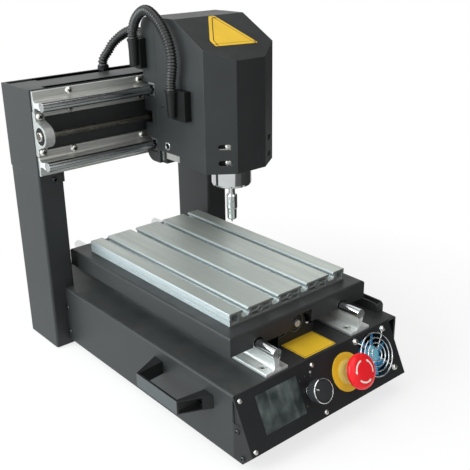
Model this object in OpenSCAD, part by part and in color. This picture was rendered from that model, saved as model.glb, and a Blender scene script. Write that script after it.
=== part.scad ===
// Desktop CNC milling machine: fixed gantry, moving T-slot table, enclosed Z head.
// X points right, Y points back and Z points up. Heights are measured from the floor, and inside the
// modules Y is measured from the front edge of the deck. place() then centres the whole machine.

/* [Base] */
// Width of the base box
base_w = 260; // [256:1:270]
// Height of the deck above the floor
deck_z = 85; // [80:1:95]
// Height of the underside of the base above the floor
base_z = 9; // [6:1:12]
// Thickness of the folded steel sheet
sheet = 2.5; // [1.5:0.5:3]
// Tilt of the control panel from vertical, in degrees
panel_tilt = 26.2; // [20:0.2:30]
// Height of the control panel along its slope
panel_l = 67; // [64:1:70]

/* [Gantry] */
// Distance from the deck's front edge to the gantry's front face
gantry_y = 342.7; // [340:0.1:350]
// Depth of the columns and the beam
gantry_d = 75; // [70:1:80]
// Overall width of the gantry
gantry_w = 300; // [296:1:310]
// Width of one column
column_w = 34; // [30:1:36]
// Height of the beam's underside
beam_z0 = 243; // [240:1:246]
// Height of the beam's top
beam_z1 = 350; // [348:1:354]

/* [Table] */
// Width of the T-slot plate
table_w = 180; // [170:2:184]
// Length of the T-slot plate
table_l = 284; // [250:1:300]
// Thickness of the T-slot plate
table_t = 15; // [14:0.5:18]
// Distance between neighbouring T-slots
slot_pitch = 45; // [40:1:46]
// Width of a T-slot at the surface
slot_w = 6.6; // [6:0.2:8]

/* [Linear motion] */
// Radius of the supported rail shafts
shaft_r = 6; // [5:0.5:6]
// Height of a shaft's axis above the foot of its support rail
shaft_h = 23.5; // [22:0.5:25]
// Radius of the lead screws
screw_r = 4; // [3:0.5:4]
// Radial clearance of sliding and turning fits
fit = 0.05; // [0.02:0.01:0.1]

/* [Controls] */
// Radius of the speed knob
knob_r = 13.6; // [11:0.2:14]
// Radius of the emergency stop's mushroom head
stop_r = 20.2; // [16:0.2:21]
// Radius of the fan's air opening
fan_r = 26; // [24:0.5:26]

/* [Head] */
// Width of the head cover
head_w = 111.6; // [110:0.2:114]
// Radius of the spindle motor's body
spindle_r = 26; // [22:0.5:26]
// Wall of the head cover
cover_t = 2; // [1.5:0.5:2]

/* [Hidden] */
$fn = 64;

// finishes
black_paint = [0.16, 0.17, 0.17];
plastic_black = [0.09, 0.09, 0.10];
aluminium = [0.72, 0.74, 0.73];
steel = [0.80, 0.81, 0.82];
cast_grey = [0.62, 0.64, 0.66];

// middle of the machine's box, from the deck's front edge
origin_x = 17;
origin_y = 188;

// base
half_w = base_w / 2;
rear_half_w = gantry_w / 2 - column_w;
gantry_back = gantry_y + gantry_d - 0.1;
fold_r = 3;
cheek_kink_z = 52.5;
panel_right = 115.5;
panel_t = 2;
foot_r = 10;

// control panel: places along X and down its slope
display_at = [-75, 31.25];
display_size = [59, 42.5];
led_at = [-24.5, 13.8];
knob_at = [-33.5, 32];
stop_at = [26.7, 32.7];
fan_at = [76.3, 30.2];
fan_pitch = 48;
stop_hole_r = 11.3;

// rails
rail_w = 32;
rail_foot_t = 4.2;
y_rail_holes = [12.6, 100, 9.5];
x_rail_holes = [48.5, 102.5, 11.4];
flange_stop = 8.3;
y_rail_x = 66.5;
y_shaft_z = deck_z + shaft_h;
y_rail_y = [2, 415];
x_shaft_y = gantry_y - shaft_h;
x_shaft_z = [259.7, 332.7];
x_rail_half = 148;
block_top = 17;
block_low = 10.6;
block_size = [40, 39];
boss_r = 11;

// carriage and table
carriage_half_w = 106;
carriage_y = [31.5, 364];
carriage_top = y_shaft_z + block_top + 3;
skirt_z = 106;
motor_notch = [27, 176];
table_y0 = 51;
table_top = carriage_top + table_t;
y_screw_z = 106;
y_pillow_y = [47, 271];
y_motor_y = 308.9;
y_block_y = [95, 265];
y_nut_y = 123;
lip_bevel = 1.6;

// X carriage and head
x_screw_y = 326;
x_screw_z = 296.6;
x_pillow_x = [-143, 133];
pillow_half = 27.5;
head_x0 = 7.6;
head_x1 = head_x0 + head_w;
head_mid = (head_x0 + head_x1) / 2;
head_front = 184;
head_chamfer_y = 208;
head_back = 305;
head_z0 = 242.3;
head_step_z = 254.5;
head_step_y = 262;
head_flat_y = 264;
head_front_z1 = 380.7;
head_top = 424.3;
x_plate_y = [x_shaft_y - block_top - 6, x_shaft_y - block_top];
housing_y = [head_back + 0.5, 334];
housing_z = [237, 424];
x_block_x = [31.5, 95.5];
z_axis_y = 275;
z_rod_x = 28;
z_rod_r = 5;
z_plate_z = [244, 354];
slider_z = [274, 300];
clamp_back = 261.5;
spindle_y = 226;
spindle_z = [215, 385];
neck_r = 4.4;
holder_z = [166.5, 201];
slot_l = 17;
slot_h = 6.6;
chamfer_angle = [37.6, 35.1];
tip_z = 161.5;

// hoses
hose_r = 6.6;
hose_sides = 10;
hose_ring = 9;
hose_head_route = [
    [-5, 333, 397.2], [-5, 333, 407], [-5, 326, 420], [-5, 314, 430], [-5, 301, 434],
    [-5, 288, 430], [-5, 274, 420], [-5, 261, 405], [-5, 254, 390], [-5, 252, 374],
    [-5, 256, 352], [-5, 256, 342.3]
];
hose_beam_route = [
    [-8, 406, 356.2], [-8, 406, 360], [-6, 405, 366], [-0.5, 402, 374.5], [5, 399, 383.5],
    [12.9, 392, 392.9], [19.3, 380, 400], [23, 366, 400.5], [24, 352, 397], [24, 343, 394.5],
    [24, 339, 394], [24, 334.4, 394]
];

module place() {
    translate([-origin_x, -origin_y, 0]) children();
}

// a point of the control panel's plane: its height down the slope and its depth off the face
function panel_point(s, off) = [
    -s * sin(panel_tilt) - off * cos(panel_tilt),
    deck_z - s * cos(panel_tilt) + off * sin(panel_tilt)
];

// children stand on the control panel with +Z along its outward normal
module on_panel(at, off = 0) {
    p = panel_point(at[1], off);
    translate([at[0], p[0], p[1]]) rotate([90 - panel_tilt, 0, 0]) children();
}

// extrudes a (y, z) outline along X
module along_x(x0, x1) {
    translate([x0, 0, 0]) rotate([90, 0, 90]) linear_extrude(x1 - x0) children();
}

// extrudes an (x, z) outline along Y
module along_y(y0, y1) {
    translate([0, y1, 0]) rotate([90, 0, 0]) linear_extrude(y1 - y0) children();
}

module box(low, high) {
    translate(low) cube(high - low);
}

// a rectangle whose corners are true arcs
module round_rect(low, high, r) {
    translate([low[0] + r, low[1]]) square([high[0] - low[0] - 2 * r, high[1] - low[1]]);
    translate([low[0], low[1] + r]) square([high[0] - low[0], high[1] - low[1] - 2 * r]);
    for (x = [low[0] + r, high[0] - r], y = [low[1] + r, high[1] - r])
        translate([x, y]) circle(r, $fn = 32);
}

// a rectangle with only its two upper corners rounded
module arch_rect(low, high, r) {
    translate(low) square([high[0] - low[0], high[1] - low[1] - r]);
    round_rect(low, high, r);
}

// a round bar between two points
module bar(p, q, r) {
    d = q - p;
    len = norm(d);
    translate(p) rotate([0, acos(d[2] / len), atan2(d[1], d[0])]) cylinder(h = len, r = r, $fn = 24);
}

// ---------------------------------------------------------------- swept hose

function cr(a, b, c, d, t) = 0.5 * (2 * b + (c - a) * t + (2 * a - 5 * b + 4 * c - d) * t * t
    + (3 * b - a - 3 * c + d) * t * t * t);
function route_at(pts, i, t) = let (n = len(pts)) cr(pts[max(i - 1, 0)], pts[i],
    pts[min(i + 1, n - 1)], pts[min(i + 2, n - 1)], t);
function route_rings(pts, step) = [
    for (i = [0 : len(pts) - 2])
        let (k = max(1, round(norm(pts[i + 1] - pts[i]) / step)))
            for (j = [0 : k - 1]) route_at(pts, i, j / k),
    pts[len(pts) - 1]
];
function unit(v) = v / norm(v);
function tangents(p) = [
    for (i = [0 : len(p) - 1]) unit(p[min(i + 1, len(p) - 1)] - p[max(i - 1, 0)])
];

module tube(route, r, sides, step) {
    p = route_rings(route, step);
    t = tangents(p);
    side = [1, 0.05, 0.02];
    points = [
        for (i = [0 : len(p) - 1])
            let (v = unit(cross(t[i], side)), u = cross(v, t[i]))
                for (k = [0 : sides - 1])
                    p[i] + r * (cos(360 * k / sides) * u + sin(360 * k / sides) * v)
    ];
    last = (len(p) - 1) * sides;
    faces = concat(
        [[for (k = [0 : sides - 1]) k]],
        [for (i = [0 : len(p) - 2], k = [0 : sides - 1])
            let (a = i * sides + k, b = i * sides + (k + 1) % sides) [a, a + sides, b + sides, b]],
        [[for (k = [sides - 1 : -1 : 0]) last + k]]
    );
    polyhedron(points, faces, convexity = 6);
}

// ---------------------------------------------------------------- base

module base_plan(inset, front) {
    a = half_w - inset;
    b = rear_half_w - inset;
    polygon([
        [-a, front], [a, front], [a, gantry_y - inset], [b, gantry_y - inset],
        [b, gantry_back - inset], [-b, gantry_back - inset], [-b, gantry_y - inset],
        [-a, gantry_y - inset]
    ]);
}

// the (x, z) outline of the folded base, with its top edges rounded
module base_profile(inset) {
    arch_rect([-half_w + inset, base_z - 1], [half_w - inset, deck_z - inset], fold_r - inset / 2);
}

module vent_slots(x0, count, z) {
    for (i = [0 : count - 1])
        translate([x0 + i * 8, gantry_back, z]) cube([4, 4 * sheet, 26], center = true);
}

module chassis_shell() color(black_paint) place() difference() {
    intersection() {
        translate([0, 0, base_z]) linear_extrude(deck_z - base_z) base_plan(0, 0);
        along_y(-1, gantry_back + 1) base_profile(0);
    }
    intersection() {
        translate([0, 0, base_z - 1]) linear_extrude(deck_z) base_plan(sheet, -1);
        along_y(-2, gantry_back + 2) base_profile(sheet);
    }
    // the cheek notch beside the control panel, on the left side only
    along_x(-half_w - 1, -half_w + 1)
        polygon([[-1, cheek_kink_z], [0.8, cheek_kink_z], [0.8, deck_z - 6], [-1, deck_z - 6]]);
    // the inlet's cut-out and the air slots of the rear wall
    box([-84, gantry_back - 4, 29], [-56, gantry_back + 1, 76]);
    vent_slots(10, 11, 46);
    // cable holes of the deck, under the trough and behind the beam
    translate([124, 320, deck_z]) cylinder(h = 9, r = 4, center = true);
    for (x = [-1, 1]) translate([x * 105, 380, deck_z]) cylinder(h = 9, r = 6, center = true);
}

module bottom_plate() color(black_paint) place() difference() {
    translate([0, 0, base_z]) linear_extrude(2) base_plan(sheet + 0.2, 0.2);
    for (x = [-48 : 12 : 48], y = [120, 280])
        box([x - 2, y, base_z - 1], [x + 2, y + 30, base_z + 3]);
}

module panel_outline() {
    polygon([panel_point(0, 0), panel_point(panel_l, 0), [-14, base_z], [0, base_z]]);
}

module front_panel() color(black_paint) place() difference() {
    along_x(-half_w, panel_right) panel_outline();
    along_x(-half_w + panel_t, panel_right - panel_t) polygon([
        panel_point(1, -panel_t), panel_point(panel_l - panel_t, -panel_t),
        [-13, base_z + panel_t], [1, base_z + panel_t], [1, deck_z - 4]
    ]);
    // the recessed upper part of the left cheek
    along_x(-half_w - 1, -half_w + 1) polygon([
        panel_point(5, -2), panel_point(35, -2), [-1, cheek_kink_z], [0, deck_z - 6]
    ]);
    on_panel(display_at) cube([display_size[0] + 0.4, display_size[1] + 0.4, 12], center = true);
    on_panel(led_at) cylinder(h = 12, r = 1.6, center = true);
    on_panel(knob_at) cylinder(h = 12, r = 3.6, center = true);
    on_panel(stop_at) cylinder(h = 12, r = stop_hole_r, center = true);
    on_panel(fan_at) {
        cylinder(h = 12, r = fan_r - 0.5, center = true);
        fan_corners() cylinder(h = 12, r = 1.7, center = true);
    }
}

module fan_corners() {
    for (x = [-1, 1], y = [-1, 1]) translate([x * fan_pitch / 2, y * fan_pitch / 2, 0]) children();
}

module display_module() color([0.20, 0.24, 0.23]) place() on_panel(display_at) {
    w = display_size[0];
    h = display_size[1];
    translate([-w / 2, -h / 2, -6]) cube([w, h, 6]);
    difference() {
        translate([-33, -28, -7.6]) cube([66, 56, 1.6]);
        for (x = [-27, 27], y = [-25, 25]) translate([x, y, -8]) cylinder(h = 3, r = 1.2);
    }
    for (x = [-27, 27], y = [-25, 25]) translate([x, y, -6]) difference() {
        cylinder(h = 6 - panel_t, r = 2.6, $fn = 24);
        translate([0, 0, -1]) cylinder(h = 6, r = 1.2, $fn = 24);
    }
    translate([-20, 22, -15]) cube([40, 5, 7.4]);
}

module speed_pot() color(steel) place() on_panel(knob_at) difference() {
    union() {
        translate([0, 0, -12]) cylinder(h = 10, r = 8.2);
        translate([-6, -13, -8]) cube([12, 6, 1.6]);
        translate([0, 0, -2]) cylinder(h = 10, r = 3.5);
        cylinder(h = 2.2, r = 6, $fn = 6);
    }
    translate([0, 0, -10]) cylinder(h = 20, r = 3 + fit);
}

module speed_knob() color(plastic_black) place() on_panel(knob_at) {
    difference() {
        rotate_extrude() polygon([
            [0, 10], [knob_r - 2.2, 10], [knob_r - 1.8, 11], [knob_r - 0.9, 20],
            [knob_r, 21], [knob_r, 23.4], [knob_r - 0.7, 24.2], [0, 24.2]
        ]);
        for (a = [0 : 15 : 345]) rotate(a) translate([knob_r - 0.9, 0, 9]) cylinder(h = 11.4, r = 0.9, $fn = 16);
        translate([0, 0, 23.4]) difference() {
            cylinder(h = 1, r = knob_r - 1.6);
            cylinder(h = 3, r = knob_r - 3, center = true);
        }
    }
    translate([0, 0, -9]) cylinder(h = 19.5, r = 3);
}

module estop_plate() color([0.86, 0.70, 0.15]) place() on_panel(stop_at) difference() {
    cylinder(h = 1.2, r = 22.2);
    cylinder(h = 4, r = stop_hole_r, center = true);
}

module estop_body() color([0.55, 0.55, 0.52]) place() on_panel(stop_at) difference() {
    union() {
        translate([0, 0, 1.2]) cylinder(h = 3.3, r = 14);
        translate([0, 0, 4.5]) cylinder(h = 1.5, r1 = 14, r2 = 11);
        translate([0, 0, -20]) cylinder(h = 22, r = stop_hole_r - 0.3);
        translate([0, 0, -6]) cylinder(h = 4, r = 14.5, $fn = 6);
        translate([-14, -14, -46]) cube([28, 28, 26]);
        for (x = [-1, 1]) translate([x * 9 - 3, -17, -40]) cube([6, 34, 12]);
    }
    translate([0, 0, -16]) cylinder(h = 30, r = 6 + fit);
}

module estop_stem() color([0.75, 0.75, 0.72]) place() on_panel(stop_at) {
    translate([0, 0, -9]) cylinder(h = 21, r = 6);
    translate([0, 0, 12]) cylinder(h = 8, r = 4);
}

module estop_button() color([0.90, 0.12, 0.17]) place() on_panel(stop_at) difference() {
    rotate_extrude() {
        polygon([
            [0, 12], [9, 12], [9.6, 15], [11.5, 17.5], [stop_r - 1.2, 20.6], [stop_r - 0.3, 21.4],
            [stop_r, 22.4], [stop_r, 24.6], [stop_r - 0.6, 26], [0, 26]
        ]);
        intersection() {
            translate([0, -60]) circle(90, $fn = 180);
            translate([0, 25.9]) polygon([[0, 0], [stop_r - 0.6, 0], [stop_r - 3, 2], [0, 9]]);
        }
    }
    translate([0, 0, 10]) cylinder(h = 10.5, r = 4 + fit);
}

module fan_frame() color(plastic_black) place() on_panel(fan_at) difference() {
    union() {
        difference() {
            translate([-28, -28, -17]) cube([56, 56, 15]);
            translate([0, 0, -20]) cylinder(h = 20, r = fan_r);
            fan_corners() translate([0, 0, -10]) cylinder(h = 20, r = 2, center = true);
        }
        translate([0, 0, -17]) cylinder(h = 2, r = 12);
        for (a = [0 : 90 : 270]) rotate(a + 20) translate([10, -1.5, -17]) cube([17, 3, 2]);
        translate([0, 0, -16]) cylinder(h = 10, r = 2);
    }
}

module fan_rotor() color([0.10, 0.42, 0.62]) place() on_panel(fan_at) difference() {
    union() {
        translate([0, 0, -14.5]) cylinder(h = 11, r = 11);
        translate([0, 0, -3.5]) cylinder(h = 0.8, r1 = 11, r2 = 10);
        intersection() {
            translate([0, 0, -14.5]) cylinder(h = 11, r = fan_r - 1);
            for (a = [0 : 360 / 7 : 359]) rotate(a)
                translate([18, 0, -9]) rotate([38, 0, 6]) cube([17, 15, 1.4], center = true);
        }
    }
    translate([0, 0, -15]) cylinder(h = 10, r = 2 + fit);
}

module wire_ring(r, z) {
    translate([0, 0, z]) rotate_extrude($fn = 48) translate([r, 0]) circle(0.8, $fn = 16);
}

module fan_guard() color(steel) place() on_panel(fan_at) {
    for (r = [8, 13.8, 19.6, 25.5]) wire_ring(r, 4.1);
    for (x = [-1, 1], y = [-1, 1]) {
        corner = [x * fan_pitch / 2, y * fan_pitch / 2, 0];
        dir = unit(corner);
        bar(dir * 6 + [0, 0, 2.6], dir * 27 + [0, 0, 2.6], 0.8);
        bar(dir * 26.6 + [0, 0, 2.6], corner - dir * 3 + [0, 0, 0.8], 0.8);
        translate(corner) wire_ring(3, 0.8);
    }
}

module rubber_feet() color([0.08, 0.08, 0.08]) place() {
    for (x = [-105, 105], y = [22, 320])
        translate([x, y, 0]) cylinder(h = base_z, r1 = foot_r, r2 = foot_r + 1.5);
    for (x = [-133, 133], y = [355, 405]) translate([x, y, 0]) cylinder(h = 2, r = 8);
}

// the plan of a handle in (distance along the base, distance out from its side)
module handle_plan() {
    difference() {
        polygon([
            [31, 0], [35, 12], [40, 29], [43, 35], [46, 36], [129, 36], [132, 35], [135, 29],
            [140, 12], [144, 0]
        ]);
        polygon([
            [55, -1], [53, 10], [56, 20], [60, 23], [115, 23], [119, 20], [122, 10], [120, -1]
        ]);
    }
}

module handle() difference() {
    intersection() {
        translate([0, 0, 55]) linear_extrude(16) handle_plan();
        rotate([90, 0, 90]) linear_extrude(200) round_rect([-1, 55], [36, 71], 2.5);
    }
    for (y = [43.5, 131.5]) {
        translate([y, -1, 63]) rotate([-90, 0, 0]) cylinder(h = 60, r = 2.6, $fn = 32);
        translate([y, 9, 63]) rotate([-90, 0, 0]) cylinder(h = 60, r = 5, $fn = 32);
    }
}

module left_handle() color(plastic_black) place() translate([-half_w, 0, 0]) rotate(90) handle();

module right_handle() color(plastic_black) place() mirror([1, 0, 0])
    translate([-half_w, 0, 0]) rotate(90) handle();

module power_supply() color(aluminium) place() difference() {
    union() {
        box([-70, 190, base_z + 5], [90, 285, base_z + 43]);
        box([-84, 195, base_z + 5], [-70, 280, base_z + 24]);
        for (x = [-55, 75], y = [200, 275])
            translate([x, y, base_z + 2]) cylinder(h = 3, r = 4, $fn = 32);
    }
    for (x = [-60 : 10 : 80]) box([x, 205, base_z + 41], [x + 4, 270, base_z + 44]);
}

module controller_board() color([0.10, 0.35, 0.22]) place() {
    box([-100, 60, base_z + 8], [20, 160, base_z + 9.6]);
    for (x = [-95, 15], y = [65, 155])
        translate([x, y, base_z + 2]) cylinder(h = 6, r = 3, $fn = 32);
    for (i = [0 : 2]) translate([-88 + i * 32, 110, base_z + 9.6]) {
        cube([22, 30, 3]);
        for (f = [0 : 4]) translate([f * 5.1, 0, 3]) cube([1.6, 30, 12]);
    }
    for (i = [0 : 4]) box([-94 + i * 22, 62, base_z + 9.6], [-78 + i * 22, 72, base_z + 19]);
    translate([-30, 92, base_z + 9.6]) cylinder(h = 20, r = 6, $fn = 32);
}

module mains_inlet() color(plastic_black) place() translate([-70, gantry_back, 52.5]) difference() {
    union() {
        translate([-16, 0, -26]) cube([32, 2.5, 52]);
        translate([-13.6, -26, -23]) cube([27.2, 26, 46]);
        translate([-7, 2, 9]) cube([14, 3.5, 11]);
    }
    difference() {
        translate([-12, -14, -20]) cube([24, 20, 17]);
        for (x = [-7, 7]) translate([x - 1, -15, -14]) cube([2, 12, 5]);
        translate([-1, -15, -9.5]) cube([2, 12, 5]);
    }
}

module cable_trough() color(black_paint) place() difference() {
    intersection() {
        box([118, 20, deck_z], [129.6, gantry_y, deck_z + 12]);
        along_x(110, 135) arch_rect([20, deck_z - 1], [gantry_y + 20, deck_z + 12], 5);
    }
    box([119.5, 22, deck_z + 1.5], [128.1, gantry_y - 1.5, deck_z + 20]);
    translate([124, 320, deck_z]) cylinder(h = 9, r = 4, center = true);
}

// ---------------------------------------------------------------- gantry

module column() {
    inner = gantry_w / 2 - column_w;
    difference() {
        union() {
            translate([0, 0, 2]) linear_extrude(beam_z0 - 2)
                round_rect([inner, gantry_y], [gantry_w / 2, gantry_back], 3);
            box([inner - 3, gantry_y + 3, beam_z0 - 14], [inner + 4, gantry_back - 3, beam_z0]);
        }
        translate([0, 0, 5]) linear_extrude(beam_z0 - 8)
            round_rect([inner + 3, gantry_y + 3], [gantry_w / 2 - 3, gantry_back - 3], 1.5);
    }
}

module left_column() color(black_paint) place() mirror([1, 0, 0]) column();

module right_column() color(black_paint) place() column();

module beam_section(inset) {
    round_rect([gantry_y + inset, beam_z0 + inset], [gantry_back - inset, beam_z1 - inset], 2);
}

groove_y = gantry_back - 18;

module beam() color(black_paint) place() difference() {
    along_x(-gantry_w / 2 + sheet, gantry_w / 2 - sheet) beam_section(0);
    along_x(-gantry_w, gantry_w) difference() {
        beam_section(4);
        translate([groove_y - 4, beam_z1 - 8]) square([20, 9]);
    }
    box([-gantry_w, groove_y, beam_z1 - 3], [gantry_w, groove_y + 12, beam_z1 + 1]);
    translate([-8, 406, beam_z1 - 12]) cylinder(h = 20, r = 6);
}

module beam_ends() color(black_paint) place() for (side = [0, 1]) mirror([side, 0, 0])
    along_x(gantry_w / 2 - sheet, gantry_w / 2) beam_section(0);

// ---------------------------------------------------------------- rails, bearings and screws

// cross-section of a support rail: its foot, waist and cradle, standing on the X axis
module rail_section() difference() {
    union() {
        round_rect([-rail_w / 2, 0], [rail_w / 2, rail_foot_t], 1);
        difference() {
            translate([-7.5, rail_foot_t - 1]) square([15, 6]);
            for (x = [-1, 1]) translate([x * 7.7, rail_foot_t + 4.4]) circle(4.4, $fn = 48);
        }
        translate([-3.3, 2]) square([6.6, shaft_h - 7]);
        polygon([
            [-3.3, shaft_h - 10], [3.3, shaft_h - 10], [4.6, shaft_h - 6], [4.6, shaft_h - 3.3],
            [-4.6, shaft_h - 3.3], [-4.6, shaft_h - 6]
        ]);
    }
    translate([0, shaft_h]) circle(shaft_r + 0.01);
}

// a support rail along +Y from 0 to length, its foot on the XY plane;
// holes: the first one's place, their pitch and their distance from the middle
module rail(length, holes) difference() {
    along_y(0, length) rail_section();
    for (y = [holes[0] : holes[1] : length - 8], x = [-1, 1])
        translate([x * holes[2], y, 0]) {
            cylinder(h = 20, r = 2.3, center = true);
            translate([0, 0, 2.6]) cylinder(h = 6, r = 4.2);
        }
}

module y_rail_left() color(aluminium) place()
    translate([-y_rail_x, y_rail_y[0], deck_z]) rail(y_rail_y[1] - y_rail_y[0], y_rail_holes);

module y_rail_right() color(aluminium) place()
    translate([y_rail_x, y_rail_y[0], deck_z]) rail(y_rail_y[1] - y_rail_y[0], y_rail_holes);

module y_shafts() color(steel) place() for (x = [-y_rail_x, y_rail_x])
    translate([x, y_rail_y[0], y_shaft_z]) rotate([-90, 0, 0])
        cylinder(h = y_rail_y[1] - y_rail_y[0], r = shaft_r);

// turns a rail that lies along +Y on the floor to lie along +X on the beam's front
module on_beam(z) {
    translate([-x_rail_half, gantry_y, z]) rotate([90, 90, 0]) children();
}

// an X rail whose inner flange stops short at the screw's pillow blocks
module x_rail(z, inward) difference() {
    on_beam(z) rail(2 * x_rail_half, x_rail_holes);
    low = inward > 0 ? z + flange_stop : z - rail_w;
    for (x = x_pillow_x) box([x - 7, gantry_y - 10, low], [x + 7, gantry_y + 1, low + rail_w - flange_stop]);
}

module x_rail_upper() color(aluminium) place() x_rail(x_shaft_z[1], -1);

module x_rail_lower() color(aluminium) place() x_rail(x_shaft_z[0], 1);

module x_shafts() color(steel) place() for (z = x_shaft_z)
    translate([-x_rail_half, x_shaft_y, z]) rotate([0, 90, 0])
        cylinder(h = 2 * x_rail_half, r = shaft_r);

// a pillow block for a lead screw: its foot on the XY plane, its axis along Y at height h
module pillow(h, half) difference() {
    along_y(-6, 6) {
        round_rect([-half, 0], [half, h - 9.5], 1.5);
        polygon([[-18, h - 10.5], [18, h - 10.5], [12.5, h + 5.4], [-12.5, h + 5.4]]);
        translate([0, h]) circle(13.6);
    }
    for (x = [-1, 1]) translate([x * (half - 5.5), 0, 0]) cylinder(h = 80, r = 2.2, center = true);
    for (y = [-6.1, 5.1]) translate([0, y, h]) rotate([-90, 0, 0]) difference() {
        cylinder(h = 1, r = 11);
        translate([0, 0, -1]) cylinder(h = 3, r = 7);
    }
    translate([0, 0, h]) rotate([90, 0, 0]) cylinder(h = 40, r = screw_r + fit, center = true);
}

// both ends of the Y screw stand on the deck, both ends of the X screw on the beam's front
module screw_bearings() color(cast_grey) place() {
    for (y = y_pillow_y) translate([0, y, deck_z]) pillow(y_screw_z - deck_z, pillow_half);
    for (x = x_pillow_x) translate([x, gantry_y, x_screw_z]) rotate([90, 0, 0]) rotate([0, 0, 90])
        pillow(gantry_y - x_screw_y, pillow_half);
}

module y_screw() color(steel) place() translate([0, y_pillow_y[0] - 9, y_screw_z])
    rotate([-90, 0, 0]) cylinder(h = y_pillow_y[1] + 30 - y_pillow_y[0], r = screw_r);

module x_screw() color(steel) place() translate([-152, x_screw_y, x_screw_z]) rotate([0, 90, 0])
    cylinder(h = 302, r = screw_r);

// a split coupling along +Z from 0 to length, bored for the screw and the motor's shaft
module coupler(length) difference() {
    cylinder(h = length, r = 9.2);
    translate([0, 0, -1]) cylinder(h = length / 2 + 1, r = screw_r + 0.01);
    translate([0, 0, length / 2]) cylinder(h = length, r = 2.51);
    for (z = [4, length - 4]) translate([0, 0, z]) rotate([90, 0, 0]) cylinder(h = 12, r = 1.4);
    for (z = [-2 : 2]) translate([z % 2 == 0 ? 3 : -13, -10, length / 2 + z * 2 - 0.4])
        cube([10, 20, 0.8]);
}

module y_coupler() color(aluminium) place() translate([0, y_pillow_y[1] + 10, y_screw_z])
    rotate([-90, 0, 0]) coupler(22);

module x_coupler() color(aluminium) place() translate([140.5, x_screw_y, x_screw_z])
    rotate([0, 90, 0]) coupler(19);

// a stepper motor along +Z: its front face at 0, its shaft pointing to -Z
module stepper(length, shaft) {
    difference() {
        union() {
            linear_extrude(9) square(42, center = true);
            translate([0, 0, 8]) linear_extrude(length - 17) intersection() {
                square(42, center = true);
                rotate(45) square(53, center = true);
            }
            translate([0, 0, length - 10]) linear_extrude(10) square(42, center = true);
        }
        for (x = [-15.5, 15.5], y = [-15.5, 15.5]) translate([x, y, -1]) cylinder(h = 6, r = 1.5);
    }
    translate([0, 0, -2]) cylinder(h = 3, r = boss_r);
    if (shaft > 0) translate([0, 0, -shaft]) cylinder(h = shaft, r = 2.5);
}

module axis_motors() color([0.14, 0.14, 0.15]) place() {
    translate([0, y_motor_y, y_screw_z]) rotate([-90, 0, 0]) stepper(40, 14);
    translate([166, x_screw_y, x_screw_z]) rotate([0, 90, 0]) stepper(34, 14);
}

module motor_brackets() color(black_paint) place() {
    // upright plate of the Y motor with its foot on the deck
    difference() {
        union() {
            box([-24, y_motor_y - 4, deck_z], [24, y_motor_y, y_screw_z + 21]);
            box([-24, y_motor_y - 12, deck_z], [24, y_motor_y - 4, deck_z + 4]);
        }
        translate([0, y_motor_y, y_screw_z]) rotate([90, 0, 0])
            cylinder(h = 30, r = boss_r + 0.2, center = true);
    }
    // angle plate of the X motor, screwed to the beam's right end
    difference() {
        union() {
            box([162, 304, x_screw_z - 22], [166, 372, x_screw_z + 22]);
            box([150, 368, x_screw_z - 22], [162, 372, x_screw_z + 22]);
            box([150, 350, x_screw_z - 22], [153, 390, x_screw_z + 22]);
        }
        translate([160, x_screw_y, x_screw_z]) rotate([0, 90, 0])
            cylinder(h = 30, r = boss_r + 0.2, center = true);
    }
}

// a bearing block that rides on a shaft along Y; the shaft's axis is the origin, its seat is on top
module bearing_block() difference() {
    along_y(-block_size[1] / 2, block_size[1] / 2) difference() {
        union() {
            translate([-block_size[0] / 2, block_top - 9]) square([block_size[0], 9]);
            polygon([
                [-block_size[0] / 2, block_top - 9], [-13.5, block_top - 14], [-13.5, -4],
                [-9.5, -block_low], [9.5, -block_low], [13.5, -4], [13.5, block_top - 14],
                [block_size[0] / 2, block_top - 9]
            ]);
        }
        circle(shaft_r + fit);
        translate([-5.6, -20]) square([11.2, 20]);
    }
    for (x = [-14, 14], y = [-13, 13]) translate([x, y, block_top - 11]) cylinder(h = 12, r = 2.1);
}

module y_blocks() color(cast_grey) place() for (x = [-y_rail_x, y_rail_x], y = y_block_y)
    translate([x, y, y_shaft_z]) bearing_block();

module x_blocks() color(cast_grey) place() for (x = x_block_x, z = x_shaft_z)
    translate([x, x_shaft_y, z]) rotate([90, 0, 0]) rotate([0, 0, 90]) bearing_block();

// ---------------------------------------------------------------- table

module carriage_solid(inset, top) {
    intersection() {
        along_y(carriage_y[0] + inset, carriage_y[1] - inset)
            arch_rect([-carriage_half_w + inset, skirt_z - (inset > 0 ? 1 : 0)],
                [carriage_half_w - inset, top], fold_r - inset / 2);
        along_x(-200, 200)
            arch_rect([carriage_y[0] + inset, 0], [carriage_y[1] - inset, top], fold_r - inset / 2);
    }
}

module table_carriage() color(black_paint) place() difference() {
    carriage_solid(0, carriage_top);
    carriage_solid(sheet, carriage_top - 3);
    // the skirts step over the shafts and the front bearing
    for (x = [-y_rail_x, y_rail_x]) translate([x, 0, y_shaft_z]) rotate([-90, 0, 0])
        cylinder(h = 400, r = shaft_r + 1.5);
    box([-15, 0, 90], [16, 100, 121.5]);
    // the long rear notch that passes over the Y motor
    box([-motor_notch[0], motor_notch[1], 90], [motor_notch[0], 400, carriage_top + 1]);
}

// one T-slot as seen from the plate's end, its mouth at the top
module t_slot() {
    translate([-slot_w / 2, -4]) square([slot_w, 5]);
    polygon([
        [-slot_w / 2 - lip_bevel, 0.01], [-slot_w / 2, -1.2], [slot_w / 2, -1.2],
        [slot_w / 2 + lip_bevel, 0.01]
    ]);
    polygon([[-5.8, -3], [5.8, -3], [5.8, -6.4], [3.4, -9], [-3.4, -9], [-5.8, -6.4]]);
}

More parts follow.
